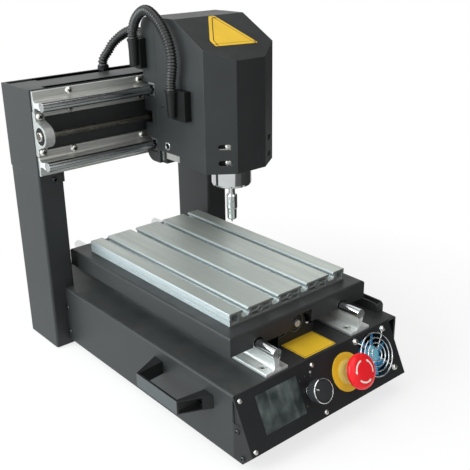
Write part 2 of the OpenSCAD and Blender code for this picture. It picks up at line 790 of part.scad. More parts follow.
module t_slot_section() difference() {
    round_rect([-table_w / 2, -table_t], [table_w / 2, 0], 0.6);
    for (i = [-1.5 : 1.5]) translate([i * slot_pitch, 0]) t_slot();
    for (i = [-1 : 1]) translate([i * slot_pitch, -table_t / 2]) difference() {
        square([28, table_t - 5], center = true);
        circle(4.4);
        square([30, 2], center = true);
    }
    for (side = [-1, 1]) {
        translate([side * (table_w / 2 - 7.5) - 4.5, 2.5 - table_t]) square([9, table_t - 5]);
        for (z = [-5.6, -10.2, -12.6]) translate([side * table_w / 2, z]) square([1.6, 1], center = true);
    }
    for (i = [-1 : 1]) translate([i * slot_pitch, -table_t / 2]) circle(2.1);
}

module t_slot_table() color([0.66, 0.68, 0.65]) place() translate([0, 0, table_top])
    along_y(table_y0, table_y0 + table_l) t_slot_section();

module y_nut() color([0.78, 0.62, 0.30]) place() translate([0, y_nut_y, y_screw_z]) difference() {
    union() {
        box([-18, -10, -11], [18, 10, y_shaft_z + block_top - y_screw_z]);
        rotate([90, 0, 0]) cylinder(h = 28, r = 8.5, center = true);
        translate([0, -10, 0]) rotate([90, 0, 0]) cylinder(h = 3, r = 11);
    }
    rotate([90, 0, 0]) cylinder(h = 60, r = screw_r + fit, center = true);
}

// ---------------------------------------------------------------- X carriage

module x_plate() color(aluminium) place() difference() {
    box([head_x0 + 4.4, x_plate_y[0], head_step_z], [head_x1 - 4.4, x_plate_y[1], 398]);
    for (x = x_block_x, z = x_shaft_z, i = [-13, 13], j = [-14, 14])
        translate([x + i, 290, z + j]) rotate([-90, 0, 0]) cylinder(h = 20, r = 2.6, $fn = 24);
}

module x_housing() color(black_paint) place() {
    difference() {
        along_x(head_x0, head_x1) intersection() {
            round_rect([260, housing_z[0]], [housing_y[1], housing_z[1]], 15);
            translate([housing_y[0], 200]) square([60, 240]);
        }
        // hollow, open to the beam below its top
        box([head_x0 + sheet, 300, housing_z[0] + sheet], [head_x1 - sheet, 360, beam_z1 + 3]);
        along_x(head_x0 + sheet, head_x1 - sheet)
            round_rect([housing_y[0] + sheet, 340], [housing_y[1] - sheet, housing_z[1] - sheet], 12);
        // the cheeks step over the shafts and the screw
        for (z = x_shaft_z) box([0, x_shaft_y - 9, z - 9], [130, 360, z + 9]);
        box([0, x_screw_y - 8, x_screw_z - 8], [130, 360, x_screw_z + 8]);
    }
    // the joining strip behind the plate, the lower lip and the gland's tab
    box([head_x0 + 4.4, x_plate_y[1], 358], [head_x1 - 4.4, housing_y[0], 396]);
    box([head_x0 + 4.4, x_plate_y[0], housing_z[0]], [head_x1 - 4.4, x_plate_y[1] - 0.1, head_step_z]);
    box([head_x0 + 4.4, x_plate_y[0], housing_z[0]],
        [head_x1 - 4.4, housing_y[0] + 1, housing_z[0] + sheet - 0.1]);
    box([head_x0, housing_y[1] - 4, 356], [head_x0 + sheet, 349.8, 400]);
}

module x_nut() color([0.78, 0.62, 0.30]) place() difference() {
    union() {
        box([53.5, x_plate_y[1], x_screw_z - 13], [73.5, 337, x_screw_z + 13]);
        translate([49.5, x_screw_y, x_screw_z]) rotate([0, 90, 0]) cylinder(h = 28, r = 8.5);
    }
    translate([0, x_screw_y, x_screw_z]) rotate([0, 90, 0])
        cylinder(h = 300, r = screw_r + fit, center = true);
}

module z_end_plates() color(aluminium) place() for (i = [0, 1]) difference() {
    box([head_x0 + 4.4, head_step_y, z_plate_z[i]],
        [head_x1 - 4.4, x_plate_y[0], z_plate_z[i] + (i == 0 ? 12 : 8)]);
    for (x = [-z_rod_x, z_rod_x]) translate([head_mid + x, z_axis_y, z_plate_z[i] + 6 * (1 - i)])
        translate([0, 0, i == 0 ? 0 : -1]) cylinder(h = 7.1, r = z_rod_r + 0.01);
    translate([head_mid, z_axis_y, z_plate_z[i] - 1]) cylinder(h = 14, r = screw_r + fit);
    translate([head_mid, z_axis_y, z_plate_z[1] + 6]) cylinder(h = 3, r = boss_r + 0.2);
}

module z_rods() color(steel) place() for (x = [-z_rod_x, z_rod_x])
    translate([head_mid + x, z_axis_y, z_plate_z[0] + 6])
        cylinder(h = z_plate_z[1] + 6 - z_plate_z[0] - 6, r = z_rod_r);

module z_motor() color([0.14, 0.14, 0.15]) place() difference() {
    translate([head_mid, z_axis_y, z_plate_z[1] + 8]) stepper(36, 0);
    translate([head_mid, z_axis_y, z_plate_z[1]]) cylinder(h = 18.5, r = screw_r + fit);
}

module z_screw() color(steel) place() translate([head_mid, z_axis_y, z_plate_z[0] + 2])
    cylinder(h = 124, r = screw_r);

// an angled hose socket: a block on a wall that faces -X and an upright sleeve
module gland(y, z, block_y) {
    difference() {
        union() {
            translate([-5, y, z]) cylinder(h = 31, r1 = 5.6, r2 = 7.4);
            translate([-5, y, z + 30]) cylinder(h = 3, r = 8.2);
            translate([0, block_y[0], z - 4]) box([-2, 0, 0], [head_x0, block_y[1] - block_y[0], 37]);
            translate([-5, y, z + 8]) rotate([0, 90, 0]) cylinder(h = 6, r = 5.6);
        }
        translate([-5, y, z + 27]) cylinder(h = 7, r = 5);
    }
    translate([-5, y, z + 26]) cylinder(h = 7, r = 5);
}

module carriage_gland() color([0.30, 0.31, 0.32]) place() gland(333, 364, [324, 350]);

module head_gland() color([0.30, 0.31, 0.32]) place() gland(256, 309, [234, 260]);

module beam_gland() color([0.20, 0.20, 0.21]) place() translate([-8, 406, 0]) {
    translate([0, 0, beam_z1 - 3]) cylinder(h = 3.4, r = 5.9);
    translate([0, 0, beam_z1]) cylinder(h = 3, r = 9, $fn = 6);
    translate([0, 0, beam_z1 + 3]) cylinder(h = 3, r = 7.4);
}

// ---------------------------------------------------------------- head

module head_plan(inset, back) {
    c = inset * 0.47;
    polygon([
        [head_x0 + inset, back], [head_x0 + inset, head_chamfer_y + c],
        [head_x0 + 31.2 + c, head_front + inset], [head_x1 - 34.2 - c, head_front + inset],
        [head_x1 - inset, head_chamfer_y + c], [head_x1 - inset, back]
    ]);
}

module head_side(inset, back) {
    polygon([
        [head_front + inset - 2, head_z0 - (inset > 0 ? 20 : 0)], [back, head_z0 - (inset > 0 ? 20 : 0)],
        [back, head_top - inset], [head_flat_y, head_top - inset],
        [head_front + inset - 2, head_front_z1 - inset - 1.1]
    ]);
}

// an oval hole through a wall, square to a direction in plan
module oval_hole(at, angle) {
    translate(at) rotate([90, 0, angle]) linear_extrude(8, center = true) {
        square([slot_l - slot_h, slot_h], center = true);
        for (x = [-1, 1]) translate([x * (slot_l - slot_h) / 2, 0]) circle(slot_h / 2, $fn = 32);
    }
}

module head_cover() color(black_paint) place() difference() {
    intersection() {
        translate([0, 0, 200]) linear_extrude(240) head_plan(0, head_back);
        along_x(0, 130) head_side(0, head_back);
    }
    intersection() {
        translate([0, 0, 190]) linear_extrude(260) head_plan(cover_t, head_back + 1);
        along_x(0, 130) head_side(cover_t, head_back + 1);
    }
    // raised rear part of the side walls' lower edge
    box([0, head_step_y, 200], [130, head_back + 1, head_step_z]);
    // the hose's hole and the access hole of the left wall
    translate([head_x0, 247, 325]) rotate([0, 90, 0]) cylinder(h = 9, r = 8, center = true);
    translate([head_x0, 287, 263.5]) rotate([0, 90, 0]) cylinder(h = 9, r = 4.5, center = true);
    // the slots of the cover's fixing screws, two in each chamfer
    for (z = [256.2, 276.4]) oval_hole([26.8, 193.3, z], -chamfer_angle[0]);
    for (z = [254.4, 275.6]) oval_hole([102.5, 196.2, z], chamfer_angle[1]);
}

module z_slider() color(aluminium) place() difference() {
    box([head_x0 + 6.4, clamp_back, slider_z[0]], [head_x1 - 6.4, 291, slider_z[1]]);
    for (x = [-z_rod_x, z_rod_x]) translate([head_mid + x, z_axis_y, slider_z[0] - 1])
        cylinder(h = 40, r = z_rod_r + fit);
    translate([head_mid, z_axis_y, slider_z[0] - 1]) cylinder(h = 40, r = screw_r + fit);
}

module spindle_clamp() color(aluminium) place() difference() {
    union() {
        box([head_mid - 32, 194, 266], [head_mid + 32, clamp_back, slider_z[1]]);
        translate([0, 0, 266]) linear_extrude(8) head_plan(cover_t, 258);
        // the upright strips behind the cover's chamfers
        translate([0, 0, 249]) linear_extrude(35) difference() {
            head_plan(cover_t + 3.6, 213);
            head_plan(cover_t + 6.6, 214);
            translate([head_x0 + 35, 180]) square([head_w - 73, 20]);
        }
    }
    translate([head_mid, spindle_y, 200]) cylinder(h = 200, r = spindle_r + 0.01);
    box([head_mid - 1.5, 180, 265], [head_mid + 1.5, spindle_y - 10, slider_z[1] + 1]);
}

module spindle_motor() color(steel) place() translate([head_mid, spindle_y, 0]) difference() {
    rotate_extrude() polygon([
        [0, spindle_z[0]], [spindle_r - 3, spindle_z[0]], [spindle_r - 1, spindle_z[0] + 1],
        [spindle_r, spindle_z[0] + 3.5], [spindle_r, spindle_z[1] - 14],
        [spindle_r - 3, spindle_z[1] - 14], [spindle_r - 3, spindle_z[1]], [0, spindle_z[1]]
    ]);
    translate([0, 0, spindle_z[0] - 1]) cylinder(h = 22, r = neck_r + fit);
    translate([0, 0, spindle_z[0] - 1]) difference() {
        cylinder(h = 2.5, r = 15);
        cylinder(h = 9, r = 9, center = true);
    }
}

module tool_holder() color(steel) place() translate([head_mid, spindle_y, 0]) difference() {
    union() {
        translate([0, 0, holder_z[1] - 2]) cylinder(h = spindle_z[0] + 18 - holder_z[1], r = neck_r);
        rotate_extrude() polygon([
            [0, holder_z[0]], [5.4, holder_z[0]], [6.2, holder_z[0] + 1.5], [6.4, holder_z[0] + 14],
            [7.2, holder_z[0] + 16], [7.2, holder_z[1] - 2], [6.2, holder_z[1]], [0, holder_z[1]]
        ]);
    }
    translate([0, 0, holder_z[0] - 1]) cylinder(h = 21, r = 1.6);
    for (a = [0, 180]) rotate(a - 120) translate([2, 0, holder_z[1] - 9]) rotate([0, 90, 0])
        cylinder(h = 9, r = 1.7);
}

module cutter() color([0.70, 0.71, 0.73]) place() translate([head_mid, spindle_y, 0]) difference() {
    union() {
        translate([0, 0, tip_z + 3]) cylinder(h = holder_z[0] + 16 - tip_z, r = 1.6);
        translate([0, 0, tip_z]) cylinder(h = 3.05, r1 = 0.4, r2 = 1.6);
    }
    translate([0, -3, tip_z - 1]) cube([3, 6, 5]);
}

module hose_head() color(plastic_black) place() tube(hose_head_route, hose_r, hose_sides, hose_ring);

module hose_beam() color(plastic_black) place() tube(hose_beam_route, hose_r, hose_sides, hose_ring);

chassis_shell();
bottom_plate();
front_panel();
display_module();
speed_pot();
estop_plate();
estop_body();
fan_frame();
fan_guard();
rubber_feet();
left_handle();
right_handle();
power_supply();
controller_board();
mains_inlet();
cable_trough();
left_column();
right_column();
beam();
beam_ends();
y_rail_left();
y_rail_right();
y_shafts();
screw_bearings();
axis_motors();
motor_brackets();
x_rail_upper();
x_rail_lower();
x_shafts();
beam_gland();
speed_knob();
estop_stem();
estop_button();
fan_rotor();
y_screw();
y_coupler();
table_carriage();
t_slot_table();
y_blocks();
y_nut();
x_screw();
x_coupler();
x_plate();
x_housing();
x_blocks();
x_nut();
z_end_plates();
z_rods();
z_motor();
z_screw();
carriage_gland();
head_cover();
head_gland();
z_slider();
spindle_clamp();
spindle_motor();
tool_holder();
cutter();
hose_head();
hose_beam();
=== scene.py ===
"""Dresses the desktop milling machine: finishes, fasteners, hoses, plates, camera and studio."""
import logging
import math
from collections.abc import Sequence
from dataclasses import dataclass, field
from enum import Enum
from typing import ClassVar

import bmesh
import bpy
from mathutils import Matrix, Vector


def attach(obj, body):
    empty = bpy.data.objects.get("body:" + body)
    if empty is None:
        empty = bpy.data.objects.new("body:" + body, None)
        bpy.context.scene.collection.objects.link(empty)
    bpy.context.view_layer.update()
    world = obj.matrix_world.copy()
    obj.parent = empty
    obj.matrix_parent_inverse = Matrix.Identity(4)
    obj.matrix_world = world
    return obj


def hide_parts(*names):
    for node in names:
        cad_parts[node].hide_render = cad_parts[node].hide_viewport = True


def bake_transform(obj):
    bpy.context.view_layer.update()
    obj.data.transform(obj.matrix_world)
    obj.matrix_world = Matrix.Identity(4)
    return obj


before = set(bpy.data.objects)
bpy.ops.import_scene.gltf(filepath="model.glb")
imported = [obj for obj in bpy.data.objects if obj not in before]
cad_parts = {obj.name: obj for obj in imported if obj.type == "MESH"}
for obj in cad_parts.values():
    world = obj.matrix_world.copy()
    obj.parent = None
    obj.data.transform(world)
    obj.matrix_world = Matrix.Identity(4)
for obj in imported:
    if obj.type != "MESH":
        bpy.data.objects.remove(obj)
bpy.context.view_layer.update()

LOG = logging.getLogger("milling_machine")
MM = 0.001
ORIGIN = Vector((17.0, 188.0, 0.0))
Pair = tuple[float, float]
Triple = tuple[float, float, float]
Colour = Triple
Outline = Sequence[Pair]
Row = list[bmesh.types.BMVert]
Socket = bpy.types.NodeSocket
Node = bpy.types.Node
NodeTree = bpy.types.NodeTree
Object = bpy.types.Object
Mesh = bpy.types.Mesh
Feeds = dict[str | int, object]


# ------------------------------------------------------------------ places and colours

def place(x: float, y: float, z: float) -> Vector:
    """Turns millimetres right of the table's middle, behind the deck's edge and up into shared metres."""
    return (Vector((x, y, z)) - ORIGIN) * MM


def scaled(colour: Colour, share: float, lift: float = 0.0) -> Colour:
    """Brightens or darkens a linear colour by a share and a lift."""
    return tuple(min(1.0, c * share + lift) for c in colour)


def turned_by(degrees: float, axis: str) -> Matrix:
    """A turn about one axis."""
    return Matrix.Rotation(math.radians(degrees), 4, axis)


def in_scene(name: str, data: bpy.types.ID | None) -> Object:
    """Adds an object to the scene."""
    made = bpy.data.objects.new(name, data)
    bpy.context.scene.collection.objects.link(made)
    return made


def tone(red: int, green: int, blue: int) -> Colour:
    """Turns a display colour of 0 to 255 into linear light.

    Args:
        red: Red of the display colour.
        green: Green of the display colour.
        blue: Blue of the display colour.

    Returns:
        The colour in linear light, 0 to 1.
    """
    def linear(level: float) -> float:
        """Linear light of one channel."""
        return level / 12.92 if level <= 0.04045 else ((level + 0.055) / 1.055) ** 2.4
    return (linear(red / 255), linear(green / 255), linear(blue / 255))


@dataclass(frozen=True)
class Face:
    """A flat face of the machine with two directions of its own, in millimetres."""

    corner: Triple
    across: Triple
    along: Triple

    @property
    def out(self) -> Vector:
        """The face's outward direction."""
        return Vector(self.across).cross(Vector(self.along)).normalized()

    def at(self, u: float, v: float, off: float = 0.0) -> Vector:
        """Gives the point u and v millimetres along the face and off millimetres outwards."""
        point = (Vector(self.corner) + Vector(self.across).normalized() * u
                 + Vector(self.along).normalized() * v + self.out * off)
        return place(*point)

    def frame(self, u: float, v: float, off: float = 0.0) -> Matrix:
        """Gives a matrix whose Z axis is the outward direction at a point of the face.

        Args:
            u: Millimetres along the face's first direction.
            v: Millimetres along its second direction.
            off: Millimetres outwards.

        Returns:
            A matrix that also turns millimetres into metres.
        """
        x_axis = Vector(self.across).normalized()
        z_axis = self.out
        y_axis = z_axis.cross(x_axis)
        turn = Matrix((x_axis, y_axis, z_axis)).transposed().to_4x4()
        return Matrix.Translation(self.at(u, v, off)) @ turn @ Matrix.Scale(MM, 4)


TILT = math.radians(26.2)
PANEL = Face((0, 0, 85), (1, 0, 0), (0, math.sin(TILT), math.cos(TILT)))
DECK = Face((0, 0, 85), (1, 0, 0), (0, 1, 0))
ROOF = Face((0, 264, 424.3), (1, 0, 0), (0, 82, 44.7))
LEFT_CHAMFER = Face((7.6, 208, 0), (31.2, -24, 0), (0, 0, 1))
RIGHT_CHAMFER = Face((85, 184, 0), (34.2, 24, 0), (0, 0, 1))
HEAD_LEFT = Face((7.6, 305, 0), (0, -1, 0), (0, 0, 1))
BASE_LEFT = Face((-130, 342, 0), (0, -1, 0), (0, 0, 1))
GANTRY_FRONT = Face((0, 342.7, 0), (1, 0, 0), (0, 0, 1))
GANTRY_BACK = Face((0, 417.6, 0), (-1, 0, 0), (0, 0, 1))


# ------------------------------------------------------------------ node sketches

@dataclass
class Sketch:
    """Short calls that place and join the nodes of one tree."""

    tree: NodeTree

    def put(self, kind: str, feeds: Feeds | None = None, **settings: object) -> Node:
        """Adds a node.

        Args:
            kind: The node's type name.
            feeds: Sockets or plain values for its inputs, by name or number.
            **settings: Properties of the node.

        Returns:
            The new node.
        """
        node = self.tree.nodes.new(kind)
        for key, value in settings.items():
            setattr(node, key, value)
        self.give(node, feeds or {})
        return node

    def give(self, node: Node, feeds: Feeds) -> None:
        """Feeds several inputs of a node."""
        for key, source in feeds.items():
            self.feed(node.inputs[key], source)

    def feed(self, target: Socket, source: object) -> None:
        """Joins a socket to another, or gives it a plain value."""
        if isinstance(source, Socket):
            self.tree.links.new(source, target)
        else:
            target.default_value = source

    def sum_up(self, operation: str, first: object, second: object = 0.0, clamp: bool = False) -> Socket:
        """Adds a Math node with one or two sockets or numbers and gives its result."""
        feeds = {0: first, 1: second}
        return self.put("ShaderNodeMath", feeds, operation=operation, use_clamp=clamp).outputs[0]

    def times(self, first: object, second: object) -> Socket:
        """Multiplies two sockets or numbers."""
        return self.sum_up("MULTIPLY", first, second)

    def spread(self, source: Socket, low: float, high: float,
               to_low: float = 0.0, to_high: float = 1.0) -> Socket:
        """Maps a value from one range to another and clamps it.

        Args:
            source: The value.
            low: Lower end of its range.
            high: Upper end of its range.
            to_low: Value given at the lower end.
            to_high: Value given at the upper end.

        Returns:
            The mapped value's socket.
        """
        values = dict(enumerate((source, low, high, to_low, to_high)))
        return self.put("ShaderNodeMapRange", values, clamp=True).outputs[0]

    def noise(self, where: Socket, scale: object, detail: float = 2.0, rough: float = 0.5) -> Socket:
        """Adds a noise texture and gives its value."""
        values = {"Vector": where, "Scale": scale, "Detail": detail, "Roughness": rough}
        return self.put("ShaderNodeTexNoise", values).outputs[0]

    def where(self) -> Socket:
        """Gives the place on the object."""
        return self.put("ShaderNodeTexCoord").outputs["Object"]

    def facing(self, kind: str = "True Normal") -> Socket:
        """Gives the way the surface looks."""
        return self.put("ShaderNodeNewGeometry").outputs[kind]

    def axis(self, source: Socket, number: int) -> Socket:
        """Gives one part of a vector: 0 for X, 1 for Y, 2 for Z."""
        return self.put("ShaderNodeSeparateXYZ", {0: source}).outputs[number]

    def mix(self, share: object, first: object, second: object) -> Socket:
        """Mixes two colours, each a socket or a linear colour, by the second one's share."""
        first, second = (c if isinstance(c, Socket) else (*c, 1.0) for c in (first, second))
        return self.put("ShaderNodeMix", {0: share, 6: first, 7: second}, data_type="RGBA").outputs[2]

    def effect(self, tree: NodeTree, **values: object) -> Node:
        """Places a shared effect; its inputs are named with underscores for spaces."""
        feeds = {key.replace("_", " "): value for key, value in values.items()}
        return self.put("ShaderNodeGroup", feeds, node_tree=tree)


def new_group(name: str, kind: str, inputs: Sequence[tuple[str, str, object]],
              outputs: Sequence[tuple[str, str]]) -> tuple[Sketch, Node, Node]:
    """Starts a node group with named sockets.

    Args:
        name: The group's name.
        kind: ShaderNodeTree or GeometryNodeTree.
        inputs: Name, socket type and plain value of each input; None leaves the value alone.
        outputs: Name and socket type of each output.

    Returns:
        The sketch, the input node and the output node.
    """
    tree = bpy.data.node_groups.new(name, kind)
    for label, socket_type, value in inputs:
        item = tree.interface.new_socket(label, in_out="INPUT", socket_type=socket_type)
        if value is not None:
            item.default_value = value
    for label, socket_type in outputs:
        tree.interface.new_socket(label, in_out="OUTPUT", socket_type=socket_type)
    sketch = Sketch(tree)
    return sketch, sketch.put("NodeGroupInput"), sketch.put("NodeGroupOutput")


class Effects:
    """The shader node groups that several finishes share, each built once."""

    FLOAT: ClassVar[str] = "NodeSocketFloat"
    VECTOR: ClassVar[str] = "NodeSocketVector"

    def __init__(self) -> None:
        """Builds every group."""
        self.grain = self._grain()
        self.brush = self._brush()
        self.edge = self._edge()
        self.dust = self._dust()

    def _grain(self) -> NodeTree:
        """Fine grain of paint and moulded plastic, with a slow change of tone."""
        s, given, result = new_group("surface_grain", "ShaderNodeTree",
                                     [("Scale", self.FLOAT, 900.0), ("Patch Scale", self.FLOAT, 12.0)],
                                     [("Height", self.FLOAT), ("Patch", self.FLOAT)])
        where = s.where()
        fine = s.noise(where, given.outputs["Scale"], 2.0, 0.6)
        coarse = s.noise(where, s.times(given.outputs["Scale"], 0.31), 1.0, 0.5)
        height = s.sum_up("ADD", s.times(fine, 0.65), s.times(coarse, 0.35))
        patch = s.spread(s.noise(where, given.outputs["Patch Scale"], 4.0, 0.6), 0.3, 0.7)
        s.give(result, {"Height": height, "Patch": patch})
        return s.tree

    def _brush(self) -> NodeTree:
        """Lines left by brushing, drawing or turning: fine across one direction, long along the other."""
        s, given, result = new_group("brushed_lines", "ShaderNodeTree",
                                     [("Stretch", self.VECTOR, (60.0, 1500.0, 1500.0))],
                                     [("Height", self.FLOAT), ("Streak", self.FLOAT)])
        stretched = s.put("ShaderNodeVectorMath", {0: s.where(), 1: given.outputs["Stretch"]},
                          operation="MULTIPLY").outputs[0]
        lines = s.noise(stretched, 1.0, 3.0, 0.7)
        wide = s.noise(stretched, 0.12, 2.0, 0.5)
        both = s.sum_up("ADD", s.times(lines, 0.5), s.times(wide, 0.5))
        s.give(result, {"Height": lines, "Streak": s.spread(both, 0.36, 0.64)})
        return s.tree

    def _edge(self) -> NodeTree:
        """Rounds edges in the shading and gives a mask of them."""
        # Its mask marks edges for worn finish and painted highlights in the finishes.
        s, given, result = new_group("rounded_edge_mask", "ShaderNodeTree",
                                     [("Radius", self.FLOAT, 0.0006)],
                                     [("Mask", self.FLOAT), ("Normal", self.VECTOR)])
        bevel = s.put("ShaderNodeBevel", {"Radius": given.outputs["Radius"]}, samples=4).outputs[0]
        same = s.put("ShaderNodeVectorMath", {0: bevel, 1: s.facing()}, operation="DOT_PRODUCT")
        s.give(result, {"Mask": s.spread(same.outputs["Value"], 0.995, 0.8), "Normal": bevel})
        return s.tree

    def _dust(self) -> NodeTree:
        """Thin workshop dust that settles on faces that look up."""
        s, given, result = new_group("settled_dust", "ShaderNodeTree",
                                     [("Amount", self.FLOAT, 0.1)], [("Mask", self.FLOAT)])
        upward = s.spread(s.axis(s.facing("Normal"), 2), 0.6, 1.0)
        cloud = s.spread(s.noise(s.where(), 26.0, 6.0, 0.7), 0.35, 0.75)
        settled = s.sum_up("MULTIPLY", s.times(upward, cloud), given.outputs["Amount"], clamp=True)
        s.give(result, {"Mask": settled})
        return s.tree


EFFECTS = Effects()


# ------------------------------------------------------------------ finishes

def new_material(name: str) -> tuple[bpy.types.Material, Sketch, Node]:
    """Starts a material and gives it with its sketch and its shader."""
    made = bpy.data.materials.new(name)
    made.use_nodes = True
    return made, Sketch(made.node_tree), made.node_tree.nodes["Principled BSDF"]


@dataclass(frozen=True)
class Finish:
    """What every finish has: a name, a colour and a gloss."""

    name: str
    colour: Colour
    roughness: float
    built: ClassVar[dict[str, bpy.types.Material]] = {}

    def material(self) -> bpy.types.Material:
        """Builds the material on its first use.

        Returns:
            The finished material.
        """
        if self.name not in self.built:
            made, sketch, shader = new_material(self.name)
            made.diffuse_color = (*self.colour, 1.0)
            sketch.give(shader, {"Roughness": self.roughness})
            self.dress(sketch, shader)
            self.built[self.name] = made
        return self.built[self.name]

    def dress(self, s: Sketch, shader: Node) -> None:
        """Joins the finish's own nodes to the shader; every kind of finish has its own."""
        raise NotImplementedError

    def painted_light_by_facing(self, s: Sketch, body: Socket) -> Socket:
        """Paints light or shade into the colour by the way a face looks; a plain finish keeps its own."""
        return body

    @staticmethod
    def relief(s: Sketch, shader: Node, height: Socket, depth: float,
               strength: float = 1.0, normal: Socket | None = None) -> None:
        """Feeds a relief to the shader.

        Args:
            s: The material's sketch.
            shader: Its shader.
            height: Height of the relief, 0 to 1.
            depth: Its depth in metres.
            strength: Share of the relief that shows.
            normal: Normal under the relief.
        """
        feeds = {"Strength": strength, "Distance": depth, "Height": height}
        if normal is not None:
            feeds["Normal"] = normal
        s.give(shader, {"Normal": s.put("ShaderNodeBump", feeds).outputs[0]})


@dataclass(frozen=True)
class PowderCoat(Finish):
    """Baked powder paint on folded steel: fine orange peel, soft edges lightened as worn paint and as a
    painted highlight, and a little dust.
    """

    grain: float = 1100.0
    depth: float = 0.00006
    specular: float = 0.35
    # Colour of the lightened edges: partly worn paint, partly a painted highlight.
    edge: Colour = (0.12, 0.13, 0.13)
    wear_and_highlight: float = 0.35
    dust: float = 0.10
    dust_colour: Colour = (0.26, 0.25, 0.23)
    radius: float = 0.0012

    def dress(self, s: Sketch, shader: Node) -> None:
        """Joins grain, edges and dust."""
        grain = s.effect(EFFECTS.grain, Scale=self.grain, Patch_Scale=11.0)
        edge = s.effect(EFFECTS.edge, Radius=self.radius)
        dust = s.effect(EFFECTS.dust, Amount=self.dust)
        patch = grain.outputs["Patch"]
        body = s.mix(patch, scaled(self.colour, 0.86), scaled(self.colour, 1.16))
        # Lightens the edges: partly worn paint, partly a painted highlight.
        wear_and_sheen = s.times(edge.outputs["Mask"], s.spread(patch, 0.0, 1.0, self.wear_and_highlight * 0.5, self.wear_and_highlight))
        s.give(shader, {
            "Base Color": s.mix(dust.outputs["Mask"], s.mix(wear_and_sheen, body, self.edge), self.dust_colour),
            "Roughness": s.spread(patch, 0.0, 1.0, self.roughness - 0.05, self.roughness + 0.06),
            "Specular IOR Level": self.specular})
        self.relief(s, shader, grain.outputs["Height"], self.depth, 0.5, edge.outputs["Normal"])


@dataclass(frozen=True)
class Brushed(Finish):
    """Bare metal with drawn or milled lines."""

    stretch: Triple = (60.0, 1500.0, 1500.0)
    depth: float = 0.00003
    contrast: float = 0.25
    metallic: float = 1.0
    radius: float = 0.0004

    def dress(self, s: Sketch, shader: Node) -> None:
        """Joins the lines and the handled patches."""
        lines = s.effect(EFFECTS.brush, Stretch=self.stretch)
        grain = s.effect(EFFECTS.grain, Scale=500.0, Patch_Scale=24.0)
        edge = s.effect(EFFECTS.edge, Radius=self.radius)
        streak = lines.outputs["Streak"]
        body = s.mix(streak, scaled(self.colour, 1 - self.contrast),
                     scaled(self.colour, 1 + self.contrast * 0.6))
        body = s.mix(s.times(grain.outputs["Patch"], 0.18), body, scaled(self.colour, 0.72))
        # Lightens the edges: partly worn metal, partly a painted highlight.
        body = s.mix(s.times(edge.outputs["Mask"], 0.4), body, scaled(self.colour, 1.35, 0.05))
        gloss = s.spread(streak, 0.0, 1.0, self.roughness + 0.07, self.roughness - 0.05)
        s.give(shader, {"Base Color": self.painted_light_by_facing(s, body), "Metallic": self.metallic, "Roughness": gloss})
        self.relief(s, shader, lines.outputs["Height"], self.depth, 0.6, edge.outputs["Normal"])


@dataclass(frozen=True)
class Extruded(Brushed):
    """Anodised extrusion: painted light makes its left faces brighter than the top, painted shade makes its
    ends duller.
    """

    # Painted light on the faces that look left.
    side: Colour = (0.52, 0.58, 0.61)
    # Painted shade on the ends, and how much of it shows.
    end: Colour = (0.20, 0.21, 0.21)
    painted_shade_end_share: float = 0.8

    def painted_light_by_facing(self, s: Sketch, body: Socket) -> Socket:
        """Paints light on the faces that look left and paints shade on the ends."""
        facing = s.facing()
        painted_light_left = s.spread(s.axis(facing, 0), -0.3, -0.8, 0.0, 0.85)
        painted_shade_ends = s.spread(s.sum_up("ABSOLUTE", s.axis(facing, 1)), 0.8, 0.95, 0.0, self.painted_shade_end_share)
        return s.mix(painted_shade_ends, s.mix(painted_light_left, body, self.side), self.end)


@dataclass(frozen=True)
class Polished(Finish):
    """Chromed or ground steel with faint smears."""

    smear: float = 0.10

    def dress(self, s: Sketch, shader: Node) -> None:
        """Joins the smears and soft edges."""
        grain = s.effect(EFFECTS.grain, Scale=160.0, Patch_Scale=38.0)
        edge = s.effect(EFFECTS.edge, Radius=0.0004)
        patch = grain.outputs["Patch"]
        s.give(shader, {"Base Color": s.mix(patch, self.colour, scaled(self.colour, 0.86)), "Metallic": 1.0,
                        "Roughness": s.spread(patch, 0.0, 1.0, self.roughness, self.roughness + self.smear)})
        self.relief(s, shader, grain.outputs["Height"], 0.00001, 0.4, edge.outputs["Normal"])


@dataclass(frozen=True)
class Cast(Finish):
    """Sand-blasted or die-cast metal: matt, pitted and uneven."""

    scale: float = 700.0
    depth: float = 0.00025
    metallic: float = 0.7
    low_colour: Colour | None = None
    low_height: float = 0.15

    def dress(self, s: Sketch, shader: Node) -> None:
        """Joins the pits and the uneven tone."""
        where = s.where()
        pits = s.put("ShaderNodeTexVoronoi", {"Vector": where, "Scale": self.scale}).outputs["Distance"]
        rough = s.noise(where, self.scale * 0.5, 4.0, 0.65)
        edge = s.effect(EFFECTS.edge, Radius=0.0006)
        body = s.mix(s.spread(rough, 0.3, 0.7), scaled(self.colour, 0.72), self.colour)
        if self.low_colour is not None:
            high = s.spread(s.axis(where, 2), self.low_height, self.low_height + 0.001)
            body = s.mix(high, self.low_colour, body)
        # Lightens the edges: partly worn metal, partly a painted highlight.
        body = s.mix(s.times(edge.outputs["Mask"], 0.5), body, scaled(self.colour, 1.3))
        s.give(shader, {"Base Color": body, "Metallic": self.metallic,
                        "Roughness": s.spread(rough, 0.3, 0.7, self.roughness, self.roughness + 0.15)})
        self.relief(s, shader, s.sum_up("ADD", s.times(pits, 0.6), rough), self.depth, 0.7,
                    edge.outputs["Normal"])


